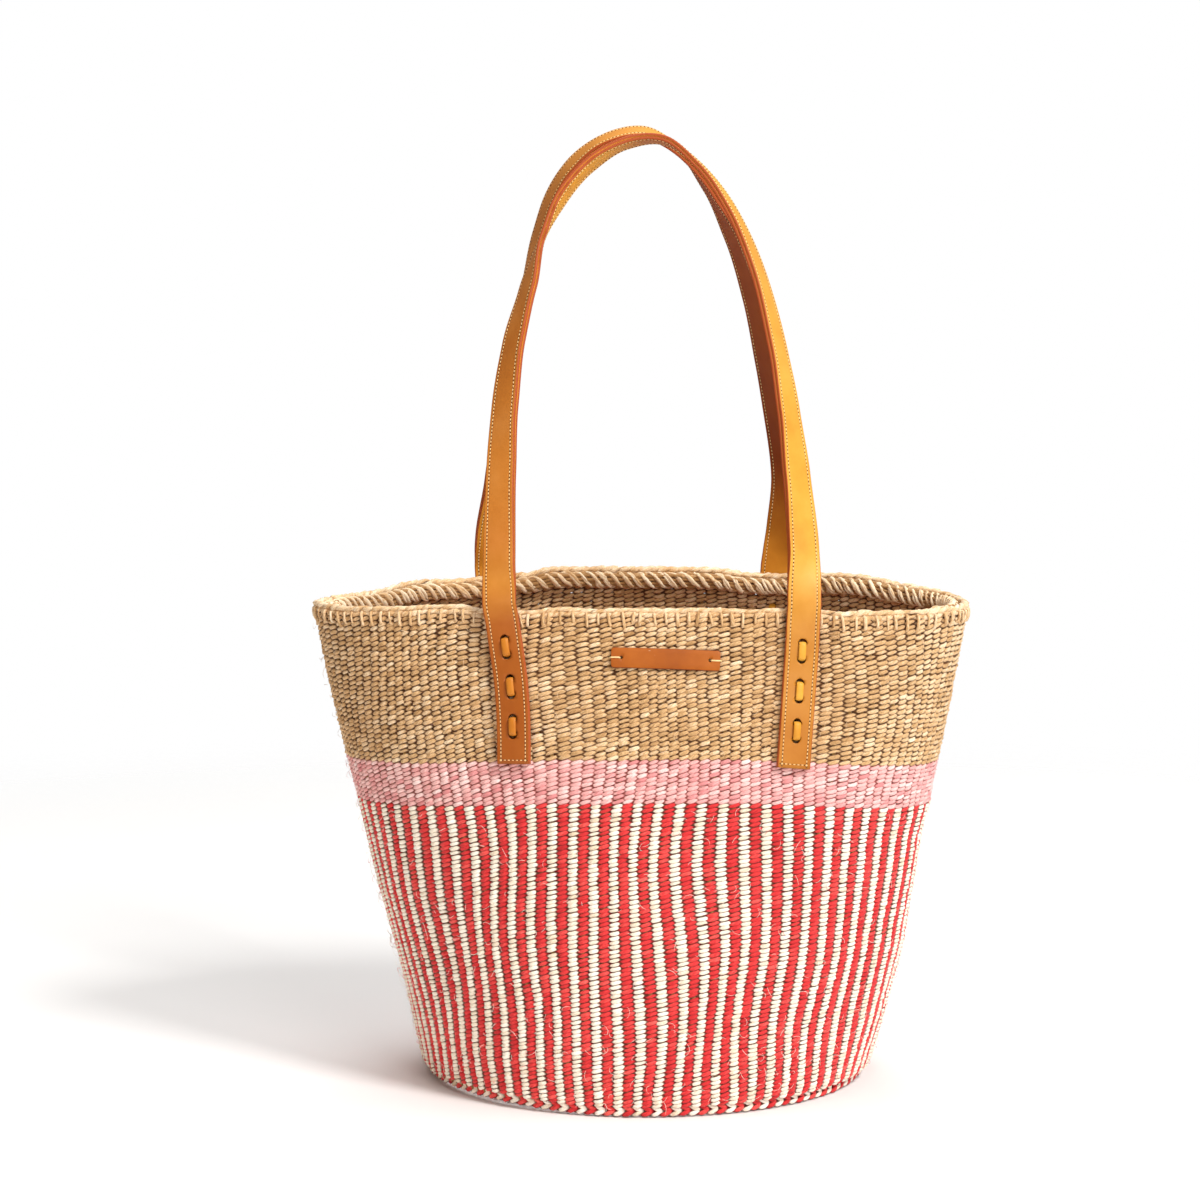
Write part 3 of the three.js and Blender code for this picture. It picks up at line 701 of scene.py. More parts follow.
def row_lane(height, strand, depth=MIDDLE_DEPTH, uneven=1.0, first_turn=None, rate=1.0, contrast=1.0,
             tone=0.0):
    """One strand of one row. Strand 0 passes in front of the even warps and strand 1 of the odd ones."""
    share = height / BODY_HEIGHT
    arc = along_warps / WARPS
    stitch = np.round(along_warps).astype(int) % WARPS
    jitter = weave_random.normal(size=(4, WARPS))[:, stitch]
    place, out, up, side, length = wall_frame(share, arc + wander(arc, share) / WARPS)
    swell, rise = wall_lift(place, arc, share)
    place = place + out * (swell - depth)[:, None] + up * (rise + STITCH_UP * uneven * jitter[0])[:, None]
    place = place + side * (STITCH_ASIDE * uneven * jitter[1])[:, None]
    return {
        "place": place, "outward": out, "upward": up,
        "turn": rate * along_warps + (strand if first_turn is None else first_turn),
        "swell": 1 + STITCH_SWELL * uneven * jitter[2],
        "tone": tone + STITCH_TONE * contrast * jitter[3] + TONE_WAVE * hand_wave(41, arc, share, 9, 4),
        "along": arc * length,
    }


def row_heights(bottom, top, count):
    """The middles of so many rows of one height."""
    return bottom + (np.arange(count) + 0.5) * (top - bottom) / count


striped_heights = row_heights(WALL_BOTTOM, STRIPED_TOP, 68)
pink_heights = row_heights(STRIPED_TOP, PINK_TOP, 10)
natural_heights = row_heights(PINK_TOP, NATURAL_TOP, 30)
# The cream strand is thicker and lies further out, so its stripes are the wider ones
STRIPES = [  # colour, finish, strand, depth, swing and radius
    ("red", red_sisal, 0, 2.6 * MM, (1.05 * MM, 0.7 * MM), (1.46 * MM, 1.02 * MM)),
    ("cream", cream_sisal, 1, 2.35 * MM, (1.25 * MM, 0.5 * MM), (1.46 * MM, 0.88 * MM)),
]
COARSE_SWING = (1.14 * MM, 0.72 * MM)
COARSE_RADIUS = (1.44 * MM, 1.05 * MM)

for number, heights in enumerate(np.array_split(striped_heights, 3)):
    for colour, finish, strand, depth, swing, radius in STRIPES:
        lanes = [row_lane(height, strand, depth) for height in heights]
        twine(f"{colour}_stitches_{number}", lanes, finish, "striped_weave_wall",
              radius, swing)
pink_lanes = [row_lane(height, strand, contrast=2.0) for height in pink_heights for strand in (0, 1)]
twine("pink_stitches", pink_lanes, pink_sisal, "pink_weave_band", COARSE_RADIUS, COARSE_SWING)
for number, heights in enumerate(np.array_split(natural_heights, 2)):
    lanes = [row_lane(height, strand, uneven=1.3) for height in heights for strand in (0, 1)]
    twine(f"natural_stitches_{number}", lanes, natural_sisal, "natural_weave_band",
          COARSE_RADIUS, COARSE_SWING)

# %% [markdown]
# ## The warps
# Between the stitches the upright cords show as dark lines. They are plain cords, so the tree runs with no
# swing.


# %% Warps
WARP_RADIUS = 1.3 * MM
WARP_REACH = (4 * MM, 281 * MM)
WARP_KNOTS = 26


def plain_lane(place, radius_share=1.0, tone=0.0):
    """A cord through these places that doesn't swing."""
    return {"place": place, "outward": (0, 0, 1), "upward": (0, 0, 1), "turn": 0.0,
            "swell": radius_share, "tone": tone, "along": run_along(place)}


warp_arcs = np.arange(WARPS) / WARPS
warp_rows = []
for share in np.linspace(*WARP_REACH, WARP_KNOTS) / BODY_HEIGHT:
    place, out, *_ = wall_frame(share, warp_arcs + wander(warp_arcs, share) / WARPS)
    swell, _ = wall_lift(place, warp_arcs, share)
    warp_rows.append(place + out * (swell - MIDDLE_DEPTH)[:, None])
warp_lanes = [plain_lane(np.array(column)) for column in np.stack(warp_rows, 1)]
twine("warp_cords", warp_lanes, warp_sisal, "striped_weave_wall", (WARP_RADIUS, WARP_RADIUS),
      closed=False, columns=2)

# %% [markdown]
# ## The edge of the mouth
# The last two rows are twined with a thicker pale pair. Inside them lies the rolled hem: the warp ends are
# bent over, laid along the rim and wrapped in one long spiral of cords. Short overcast stitches pin the
# hem down and show outside as upright ticks, one for each warp.

# %% Edge rows and hem
EDGE_ROWS = ((281.4 * MM, 0.0), (283.9 * MM, 0.55))  # height and first turn
edge_lanes = []
for height, first in EDGE_ROWS:
    for strand in (0, 1):
        edge_lanes.append(row_lane(height, strand, first_turn=strand + first, uneven=1.5, tone=0.12))
twine("edge_rows", edge_lanes, natural_sisal, "natural_weave_band", (1.5 * MM, 1.2 * MM),
      (1.0 * MM, 0.5 * MM), both_ways=True)

HEM_MIDDLE_HEIGHT = 279.7 * MM
HEM_MIDDLE_DEPTH = 8.3 * MM
HEM_TURNS = 45
HEM_BUNDLES = 3
HEM_FAN = 0.17  # how far the outer cords of a bundle stand from its middle cord, in half turns
HEM_RATE = -2 * HEM_TURNS / WARPS  # in half turns for each warp
CORE_CORDS = ((0.9, -2.9), (1.5, -1.0), (1.5, 1.0), (0.9, 2.9), (-0.8, 3.2), (-1.2, 0.6))  # inward and up, mm
hem_lanes = []
for bundle in range(HEM_BUNDLES):
    first_turn = 2 * bundle / HEM_BUNDLES
    for cord in (-1, 0, 1):
        lane = row_lane(HEM_MIDDLE_HEIGHT, 0, HEM_MIDDLE_DEPTH, 2.2, first_turn, HEM_RATE)
        gathered = 0.55 + 0.45 * hand_wave(37, along_warps / WARPS, 0, 6, 0)
        lane["turn"] = lane["turn"] + cord * HEM_FAN * gathered * np.cos(np.pi * lane["turn"]) ** 2
        lane["tone"] = lane["tone"] + 0.2
        hem_lanes.append(lane)
twine("hem_wrapping", hem_lanes, natural_sisal, "rim_hem_roll", (1.0 * MM, 0.8 * MM),
      (2.4 * MM, 4.3 * MM), 6, both_ways=True)
# The core cords are toned darker: painted shade in the hollows between the wrapping bundles.
core_lanes = []
for inward, rise in CORE_CORDS:
    depth = HEM_MIDDLE_DEPTH + inward * MM
    core_lanes.append(row_lane(HEM_MIDDLE_HEIGHT + rise * MM, 0, depth, 1.5, 0, 0, tone=-0.42))
twine("hem_core", core_lanes, natural_sisal, "rim_hem_roll", (1.25 * MM, 1.25 * MM))

# %% Overcast stitches
TICK_TOP = 282.4 * MM
TICK_BOTTOM_MM = 276.0
TICK_RADIUS = 0.85 * MM


def tick_lane(warp):
    """One stitch over the edge, which dives into the weave at both ends and leans a little."""
    arc = (warp + 0.5 + 0.15 * weave_random.normal()) / WARPS
    top, bottom = TICK_TOP, (TICK_BOTTOM_MM + 0.8 * weave_random.normal()) * MM
    lean = (0.3 + 0.5 * weave_random.normal()) * MM
    steps = ((top, -1.4, 0.0), (top - 0.4 * MM, 0.1, 0.0), ((top * 2 + bottom) / 3, 0.5, 0.3),
             ((top + bottom * 2) / 3, 0.5, 0.7), (bottom + 0.4 * MM, 0.1, 1.0), (bottom, -1.4, 1.1))
    places = []
    for height, out_mm, leaned in steps:
        place, out, up, side, _ = wall_frame(height / BODY_HEIGHT, arc)
        swell, rise = wall_lift(place[None], arc, height / BODY_HEIGHT)
        places.append(place + out * (out_mm * MM + swell[0]) + up * rise[0] + side * lean * leaned)
    thickness = 1 + 0.15 * weave_random.normal()
    return plain_lane(np.array(places), thickness, 0.06 + 0.1 * weave_random.normal())


tick_lanes = [tick_lane(warp) for warp in range(WARPS)]
twine("overcast_stitches", tick_lanes, natural_sisal, "rim_overcast_stitches",
      (TICK_RADIUS, TICK_RADIUS), closed=False, columns=4)

# %% [markdown]
# ## The base
# The base is twined like the wall, in rings that grow from the middle. New warps join on the way out, so
# every ring has as many stitches as fit it at 5.4 mm each. A thick two-colour braid runs round its edge.

# %% Base
BASE_ROW = 2.6 * MM
BASE_LAST_RADIUS = 118 * MM
BASE_STITCH = 5.4 * MM
BASE_MIDDLE_HEIGHT = 2.5 * MM
BASE_SPOKES = 74
SPOKE_STARTS = (3 * MM, 24 * MM)  # every second spoke joins on the way out
SPOKE_END = 120 * MM
SPOKE_RADIUS = 0.9 * MM
TWO_COLOURS = (("red", red_sisal, 0), ("cream", cream_sisal, 1))


def base_lane(radius, strand, height, stitch, steps, uneven=1.0):
    """One strand of one ring, with so many steps from one half turn to the next."""
    half_turns = max(2, 2 * round(math.pi * radius / stitch))
    k = np.arange(half_turns * steps) / steps
    angle = 2 * np.pi * k / half_turns + math.pi / 2
    out = np.stack([np.cos(angle), np.sin(angle), 0 * angle], -1)
    stitch_number = np.round(k).astype(int) % half_turns
    jitter = weave_random.normal(size=(3, half_turns))[:, stitch_number]
    place = out * (radius + 0.1 * MM * uneven * jitter[0])[:, None] + (0, 0, height)
    return {"place": place, "outward": (0, 0, -1), "upward": out, "turn": k + strand,
            "swell": 1 + 0.06 * uneven * jitter[1], "tone": 0.1 * uneven * jitter[2], "along": angle * radius}


base_radii = np.arange(BASE_ROW, BASE_LAST_RADIUS, BASE_ROW)
for colour, finish, strand in TWO_COLOURS:
    lanes = [base_lane(radius, strand, BASE_MIDDLE_HEIGHT, BASE_STITCH, 3) for radius in base_radii]
    twine(f"{colour}_base_stitches", lanes, finish, "woven_base", (1.33 * MM, 0.85 * MM),
          (1.1 * MM, 0.5 * MM))
spoke_lanes = []
for spoke in range(BASE_SPOKES):
    angle = 2 * np.pi * spoke / BASE_SPOKES
    reach = np.linspace(SPOKE_STARTS[spoke % 2], SPOKE_END, 8)
    spoke_place = np.stack([reach * np.cos(angle), reach * np.sin(angle), 0 * reach + BASE_MIDDLE_HEIGHT], 1)
    spoke_lanes.append(plain_lane(spoke_place))
twine("base_spokes", spoke_lanes, warp_sisal, "woven_base", (SPOKE_RADIUS, SPOKE_RADIUS),
      closed=False, columns=2)

# %% [markdown]
# ## The braid at the foot
# The braid is two twined rows, one on the other, twisted opposite ways, which reads as a row of arrowheads.
# It follows the foot where the basket stands off the floor.

# %% Foot braid
BRAID_RADIUS = 125.4 * MM
BRAID_LENGTH = 2 * np.pi * BRAID_RADIUS
BRAID_ROWS = ((2.45 * MM, 1), (5.0 * MM, -1))  # height and way of the twist
for colour, finish, strand in TWO_COLOURS:
    lanes = []
    for height, way in BRAID_ROWS:
        lane = base_lane(BRAID_RADIUS, strand, height, BRAID_LENGTH / WARPS, 6, 1.4)
        lane["outward"], lane["upward"] = lane["upward"], (0, 0, 1)
        lane["turn"] = way * lane["turn"]
        lane["place"][:, 2] += rise_round(FOOT_RISE, lane["along"] / BRAID_LENGTH + 0.25)
        lanes.append(lane)
    twine(f"{colour}_foot_braid", lanes, finish, "base_edge_braid", (1.5 * MM, 1.15 * MM),
          (1.2 * MM, 1.0 * MM), 7)

# %% [markdown]
# ## Loose fibres
# Sisal sheds. Fine hairs, most of them pale, stand off the rows and catch the light. Each is a short curved
# cord with pointed ends.

# %% Loose fibres
HAIR_RADIUS = 0.1 * MM
HAIR_TAPER = np.array([0.8, 1, 1, 1, 0.7, 0.3])
HAIRS = [  # colour, count, lowest and highest place, finish, slot, node, seed and longest in mm
    ("pale", 1300, 8 * MM, 176 * MM, cream_sisal, "striped_sisal", "striped_weave_wall", 21, 8),
    ("red", 250, 12 * MM, 176 * MM, red_sisal, "striped_sisal", "striped_weave_wall", 22, 6),
    ("pink", 120, 180 * MM, 200 * MM, pink_sisal, "pink_sisal", "pink_weave_band", 23, 6),
    ("undyed", 450, 205 * MM, 280 * MM, natural_sisal, "natural_sisal", "natural_weave_band", 24, 7),
]


def hair_lane(rng, bottom, top, longest):
    """A hair somewhere on the wall, which curls as it goes and lifts off in its middle."""
    share, arc = rng.uniform(bottom, top) / BODY_HEIGHT, rng.uniform()
    place, out, up, side, _ = wall_frame(share, arc)
    heading, curl = rng.uniform(0, 2 * np.pi), rng.normal() * 1.2
    reach, stand = rng.uniform(2.5, longest) * MM, rng.uniform(0.3, 2.4) * MM
    steps = np.linspace(0, 1, len(HAIR_TAPER))
    turned = heading + curl * steps
    path = place - out * 0.3 * MM + np.outer(reach * steps * np.cos(turned), side)
    path = path + np.outer(reach * steps * np.sin(turned), up)
    path = path + np.outer(stand * np.sin(np.pi * steps * 0.8), out)
    return plain_lane(path, HAIR_TAPER, rng.normal() * 0.1 + 0.15)


for colour, count, bottom, top, finish, slot, node, seed, longest in HAIRS:
    rng = np.random.default_rng(seed)
    lanes = [hair_lane(rng, bottom, top, longest) for _ in range(count)]
    twine(f"loose_{colour}_fibres", lanes, finish, node, (HAIR_RADIUS, HAIR_RADIUS), sides=3,
          closed=False, columns=20)

# %% [markdown]
# ## Leather
# The straps are vegetable tanned cowhide, 19 mm wide: an outer ply, grain side out, and a lining ply behind
# it, sewn together near both edges. Vegetable tanned leather is dyed through and rubbed with wax, which
# leaves soft clouds of colour and fine pores. Its cut edges are burnished to a warm orange.

# %% Leather finish
CLOUD_SIZE = 28 * MM
PORE_SIZE = 0.55 * MM  # real pores are 0.15 mm apart, too fine to show
WARM_SHADE_TINT = "#FFE2FF"
CREASE_SIZE = (6.5 * MM, 20 * MM)  # along and across the strap
FOLD_SIZE = 6 * MM


def tanned_leather(name, dark, body, light, edge, roughness, wrinkle, shaded="#FFFFFF"):
    """Two marks tint the colour: the first browns it, painted shade, on the grain also its own darker tone; the
    second reddens it, painted warm shade. Where `creased` is 1 it is wrinkled.
    """
    material, tree, shader = new_material(name)
    place = add_node(tree, "ShaderNodeTexCoord").outputs["Object"]
    cloud = {"Vector": place, "Scale": 1 / CLOUD_SIZE, "Detail": 4.0, "Roughness": 0.6}
    cloud = add_node(tree, "ShaderNodeTexNoise", cloud).outputs[0]
    colour = colour_ramp(tree, cloud, (0.25, dark), (0.5, body), (0.75, light))
    # Painted shade: the first tint browns the sides that fall in shade, on the grain also for the leather's own
    # darker tone; the second reddens them, painted warm shade.
    for mark, tint in (("aged", shaded), ("warm_shade", WARM_SHADE_TINT)):
        colour = mix_colours(tree, attribute(tree, mark), colour, linear(tint), "MULTIPLY")
    colour = mix_colours(tree, attribute(tree, "edge"), colour, linear(edge))

    lay = attribute(tree, "lay", "Vector")
    ridges = {"Vector": lay, "Scale": (1 / CREASE_SIZE[0], 1 / CREASE_SIZE[1], 1.0)}
    ridges = add_node(tree, "ShaderNodeMapping", ridges).outputs[0]
    ridges = add_node(tree, "ShaderNodeTexNoise", {"Vector": ridges, "Scale": 1.0, "Detail": 0.0}).outputs[0]
    pores = {"Vector": place, "Scale": 1 / PORE_SIZE}
    pores = add_node(tree, "ShaderNodeTexVoronoi", pores).outputs["Distance"]
    folds = {"Vector": place, "Scale": 1 / FOLD_SIZE, "Detail": 3.0, "Distortion": 0.6}
    folds = add_node(tree, "ShaderNodeTexNoise", folds).outputs[0]
    normal = relief(tree, folds, wrinkle, 0.6 * MM)
    normal = relief(tree, ridges, attribute(tree, "creased"), 2.2 * MM, normal)
    normal = relief(tree, pores, 0.25, 0.05 * MM, normal)
    fill(tree, shader, {"Base Color": colour, "Normal": normal, "Roughness": roughness, "IOR": 1.5,
                        "Specular IOR Level": 0.25})
    return material


# Where a last colour is given, it is the browning tint: painted shade, on the grain also the leather's own
# darker tone.
strap_leather = tanned_leather(
    "vegetable_tanned_grain", "#CE8E2A", "#DCA036", "#E6AE46", "#A84C22", 0.45, 0.2, "#B8867C")
lining_leather = tanned_leather(
    "vegetable_tanned_lining", "#D88E28", "#E8A230", "#F2B23C", "#A84C22", 0.6, 0.2, "#A87468")
label_leather = tanned_leather(
    "vegetable_tanned_label", "#94480C", "#A4540E", "#B46218", "#7A3610", 0.5, 0.2)
lace_leather = tanned_leather(
    "vegetable_tanned_thong", "#C07A24", "#DA9A30", "#E8AE46", "#B86824", 0.45, 0.3, "#E6C8BC")
# The walls of the punched holes are dark brown: painted shade inside the holes.
hole_shade_leather = tanned_leather(
    "cut_leather_edge", "#6A3A14", "#7C4618", "#8E521E", "#7C4618", 0.8, 0.3)
print("leathers:", [m.name for m in (strap_leather, lining_leather, label_leather, lace_leather, hole_shade_leather)])

# %% [markdown]
# ## The path of a strap
# Each handle is one strap. It comes up from its left end on the wall, folds outwards over the rim, rises in
# a tall loop and comes down to its right end. Its middle line is a smooth curve through a table of places,
# and its roll says which way the outer face looks: along the loop's plane at the foot, outwards at the top.

# %% Strap path
STRAP_WIDTH = 19 * MM
PLY = 1.7 * MM
PIECE_GAP = 0.3 * MM
STRAP_THICKNESS = 2 * PLY + PIECE_GAP
FOLD_HEIGHT = 287 * MM
HANDLE_RISE = 263 * MM
APEX_OFFSET = 10.9 * MM
LEFT_END = (86.3 * MM, 9 * MM)  # length and how much nearer the middle its lower edge is
RIGHT_END = (88 * MM, 7 * MM)
OVERCAST_DEPTH = 1 * MM
FOLD_ABOVE_RIM = 2 * MM
END_KNOTS = 12  # steps down a strap end for which the wall is looked up
FRONT_PATH = [
    (-1.0, 0.0, 0), (-1.0, 0.09, 24), (-0.991, 0.266, 34), (-0.967, 0.411, 44), (-0.91, 0.548, 54),
    (-0.82, 0.66, 64), (-0.725, 0.768, 84), (-0.59, 0.858, 96), (-0.4, 0.928, 94),
    (-0.16, 0.973, 86), (0.09, 0.979, 80), (0.335, 0.92, 74), (0.534, 0.831, 70),
    (0.709, 0.7, 66), (0.838, 0.536, 60), (0.908, 0.4, 52), (0.957, 0.266, 40),
    (0.996, 0.118, 26), (1.0, 0.0, 0),
]
BACK_PATH = [
    (-1.0, 0.0, 0), (-0.994, 0.075, 20), (-0.931, 0.21, 32), (-0.882, 0.357, 52), (-0.827, 0.525, 70),
    (-0.757, 0.635, 88), (-0.655, 0.757, 101), (-0.565, 0.845, 101), (-0.43, 0.918, 96),
    (-0.214, 0.975, 88), (0.064, 0.994, 86), (0.299, 0.952, 82), (0.506, 0.865, 72),
    (0.68, 0.755, 58), (0.819, 0.617, 52), (0.913, 0.468, 52), (0.994, 0.335, 44),
    (1.052, 0.21, 35), (1.032, 0.09, 26), (1.0, 0.0, 0),
]


# %% Smooth curve
def smooth_curve(points, t):
    """A centripetal Catmull-Rom curve through the points, at shares t of their number."""
    points = np.asarray(points, float)
    ends = [[2 * points[0] - points[1]], points, [2 * points[-1] - points[-2]]]
    padded = np.concatenate(ends)
    along = np.clip(np.asarray(t, float), 0, 1) * (len(points) - 1)
    row = np.minimum(along.astype(int), len(points) - 2)
    mix = (along - row)[:, None]
    p0, p1, p2, p3 = (padded[row + i] for i in range(4))
    pairs = (p0, p1), (p1, p2), (p2, p3)
    d0, d1, d2 = (np.sqrt(np.linalg.norm(b - a, axis=1))[:, None] for a, b in pairs)
    t1 = ((p1 - p0) / d0 - (p2 - p0) / (d0 + d1) + (p2 - p1) / d1) * d1
    t2 = ((p2 - p1) / d1 - (p3 - p1) / (d1 + d2) + (p3 - p2) / d2) * d1
    cubic = -3 * p1 + 3 * p2 - 2 * t1 - t2, 2 * p1 - 2 * p2 + t1 + t2
    return p1 + t1 * mix + cubic[0] * mix**2 + cubic[1] * mix**3


# %% Handles
class Handle:
    """The facts of one handle: where it folds, how it leans and its middle line."""

    def __init__(self, name, side, middle, half_spread, left_bow, path):
        self.name, self.side, self.middle, self.half_spread = name, side, middle, half_spread
        self.left_bow = left_bow
        self.path = np.array(path)
        edges = [middle + end * half_spread + edge * STRAP_WIDTH / 2 for end in (-1, 1) for edge in (-1, 1)]
        self.fold_y = side * max(
            abs(wall_spot(1, x, side)[0][1]) + OVERCAST_DEPTH + 2 * PIECE_GAP + STRAP_THICKNESS for x in edges)
        run = abs(self.fold_y) - APEX_OFFSET
        slope = math.hypot(run, HANDLE_RISE)
        self.face = np.array([0, side * HANDLE_RISE, run]) / slope
        self.rise = np.array([0, -side * run, HANDLE_RISE]) / slope

    def loop(self, steps):
        """Middle line and outer direction of the loop above the fold."""
        across, up, roll = self.path.T
        centre_y, apex_y = self.fold_y - self.side * STRAP_THICKNESS / 2, self.side * APEX_OFFSET
        centres = np.stack([
            self.middle + across * self.half_spread,
            centre_y + (apex_y - centre_y) * up,
            FOLD_HEIGHT + PIECE_GAP / 2 + up * (HANDLE_RISE - PIECE_GAP / 2),
        ], 1)
        t = np.linspace(0, 1, steps + 1)
        place = smooth_curve(centres, t)
        tangent = unit(smooth_curve(centres, t + 1e-4) - smooth_curve(centres, t - 1e-4))
        along = t * (len(across) - 1)
        row = np.minimum(along.astype(int), len(across) - 2)
        ease = smoothstep(along - row, 0, 1)
        turned = np.radians(roll[row] + (roll[row + 1] - roll[row]) * ease)[:, None]
        outward = unit(np.cross(self.face, tangent))
        loop_middle = (self.middle, (centre_y + apex_y) / 2, FOLD_HEIGHT + HANDLE_RISE / 2)
        outward *= np.sign(np.sum(outward * (place - loop_middle), axis=1))[:, None]
        return place, self.face * np.cos(turned) + outward * np.sin(turned)

    def end(self, end, steps):
        """Middle line, outer direction and distance to the wall of one end, from the fold down."""
        x_top = self.middle + end * self.half_spread
        length, slant = LEFT_END if end < 0 else RIGHT_END
        bow = self.left_bow if end < 0 else 0
        half, over_rim = STRAP_THICKNESS / 2, OVERCAST_DEPTH + PIECE_GAP
        first = np.array([x_top, self.fold_y, FOLD_HEIGHT - PIECE_GAP / 2]) - self.face * half
        places, outers, gaps = [first], [self.face], [half + over_rim]
        for i in range(1, END_KNOTS + 1):
            down = i / END_KNOTS
            share = 1 - (down * length - FOLD_ABOVE_RIM) / BODY_HEIGHT
            inward = slant * down + bow * math.sin(math.pi * down)
            spot, wall_out = wall_spot(share, x_top - end * inward, self.side)
            turned = smoothstep(down, 0, 0.4)
            outer = unit(self.face + (wall_out - self.face) * turned)
            twist = math.sqrt(max(0.0, 1 - float(outer @ wall_out) ** 2))
            out = PIECE_GAP + half + over_rim * (1 - smoothstep(down, 0.2, 0.45)) + twist * STRAP_WIDTH / 2
            place = spot + unit(np.array([outer[0], outer[1], wall_out[2]])) * out
            overhang = max(self.side * (first[1] - place[1]), 0)
            place[1] += self.side * overhang * (1 - turned)
            places.append(place)
            outers.append(outer)
            gaps.append((place - spot) @ wall_out / (outer @ wall_out))
        t = np.linspace(0, 1, steps + 1)
        outers, gaps = np.array(outers), np.array(gaps)
        along, knots = t * END_KNOTS, np.arange(END_KNOTS + 1)
        outer = np.stack([np.interp(along, knots, outers[:, i]) for i in range(3)], 1)
        return smooth_curve(places, t), unit(outer), np.interp(along, knots, gaps)


HANDLES = [
    Handle("front", -1, 2.3 * MM, 85.6 * MM, 2.8 * MM, FRONT_PATH),
    Handle("back", 1, -6.5 * MM, 86.5 * MM, 0, BACK_PATH),
]
print("fold lines at y, mm:", [round(handle.fold_y / MM, 2) for handle in HANDLES])

# %% Frames of a strap
LOOP_STEPS, END_STEPS = 260, 40


def strap_frames(place, outer):
    """Completes a middle line with its direction, its sideways direction and the run along it."""
    tangent = np.gradient(place, axis=0)
    across = unit(np.cross(unit(tangent), outer))
    outer = unit(np.cross(across, tangent))
    return {"place": place, "outer": outer, "across": across, "run": run_along(place)}


def whole_strap(handle):
    """Frames from the lower left end over the loop to the lower right end."""
    left, left_outer, _ = handle.end(-1, END_STEPS)
    loop, loop_outer = handle.loop(LOOP_STEPS)
    right, right_outer, _ = handle.end(1, END_STEPS)
    place = np.concatenate([left[::-1][:-1], loop, right[1:]])
    outer = np.concatenate([left_outer[::-1][:-1], loop_outer, right_outer[1:]])
    return strap_frames(place, outer)


# %% [markdown]
# ## The plies
# A ply is a band: the same section, drawn at every step of the path. The section has rounded edges, a
# shallow groove where the thread pulls it down, and a slight crown between the two seams.


# %% Bands
LEATHER_MARKS = ("edge", "aged", "creased", "warm_shade")


def band(name, frames, section, finish, widths=1.0, aged=0.0, creased=0.0, warm_shade=0.0):
    """A closed band through the frames. The section is a loop of (sideways, outward) points."""
    section = np.asarray(section, float)
    count, size = len(frames["place"]), len(section)
    widths = np.broadcast_to(widths, count)
    sideways = section[None, :, 0, None] * widths[:, None, None] * frames["across"][:, None]
    points = frames["place"][:, None] + sideways + section[None, :, 1, None] * frames["outer"][:, None]
    index = np.arange(count * size).reshape(count, size)
    here, there = index[:-1], index[1:]
    quads = np.stack([here, np.roll(here, -1, 1), np.roll(there, -1, 1), there], -1).reshape(-1, 4)
    mesh = bpy.data.meshes.new(name)
    ends = [index[0][::-1].tolist(), index[-1].tolist()]
    mesh.from_pydata(points.reshape(-1, 3).tolist(), [], quads.tolist() + ends)
    edge = np.abs(section[:, 0]) > 0.97 * np.abs(section[:, 0]).max()
    by_step = [np.reshape(values, (-1, 1)) for values in (aged, creased, warm_shade)]
    for key, values in zip(LEATHER_MARKS, [edge, *by_step]):
        write_marks(mesh, key, np.array(np.broadcast_to(values, (count, size)), np.float32).ravel())
    run = run_along(frames["place"])[:, None]
    lay = [np.broadcast_to(values, (count, size)).ravel() for values in (run, section[:, 0], 0.0)]
    write_marks(mesh, "lay", np.stack(lay, -1))
    mesh.shade_smooth()
    mesh.materials.append(finish)
    return new_object(name, mesh)


SEAM = 7.1 * MM
GROOVE = 0.22 * MM
PLY_FACE = 1.85 * MM
CROWN = 0.12 * MM


def ply_section(direction):
    """Outer ply for direction 1, lining for -1."""
    sides = np.array([-8.9, -8.2, -7.7, -7.1, -6.5, -5.8, -4, -2, 0, 2, 4, 5.8, 6.5, 7.1, 7.7, 8.2, 8.9]) * MM
    face = PLY_FACE - GROOVE * np.exp(-(((np.abs(sides) - SEAM) / (0.45 * MM)) ** 2))
    face = face + CROWN * np.clip(1 - (sides / (5.5 * MM)) ** 2, 0, 1)
    rounded = np.array([(9.25, 1.7), (9.45, 1.35), (9.5, 0.9), (9.42, 0.45), (9.2, 0.06)]) * MM
    loop = np.concatenate([np.stack([sides, face], 1), rounded, rounded[::-1] * (-1, 1)])
    return (loop * (1, direction))[:: -direction]


print("ply section:", len(ply_section(1)), "points")

# %% Round holes
PUNCH_SIDES = 16


def mark_cuts(uncut, cut, centres, reach):
    """A cut makes new corners without marks. They take those of the nearest old corner."""
    old, new = (np.array([vertex.co for vertex in mesh.vertices]) for mesh in (uncut, cut))
    near = [np.linalg.norm(new - centre, axis=1) < reach for centre in centres]
    for i in np.flatnonzero(np.any(near, axis=0)):
        nearest = int(np.argmin(np.sum((old - new[i]) ** 2, 1)))
        for key in LEATHER_MARKS:
            cut.attributes[key].data[i].value = uncut.attributes[key].data[nearest].value


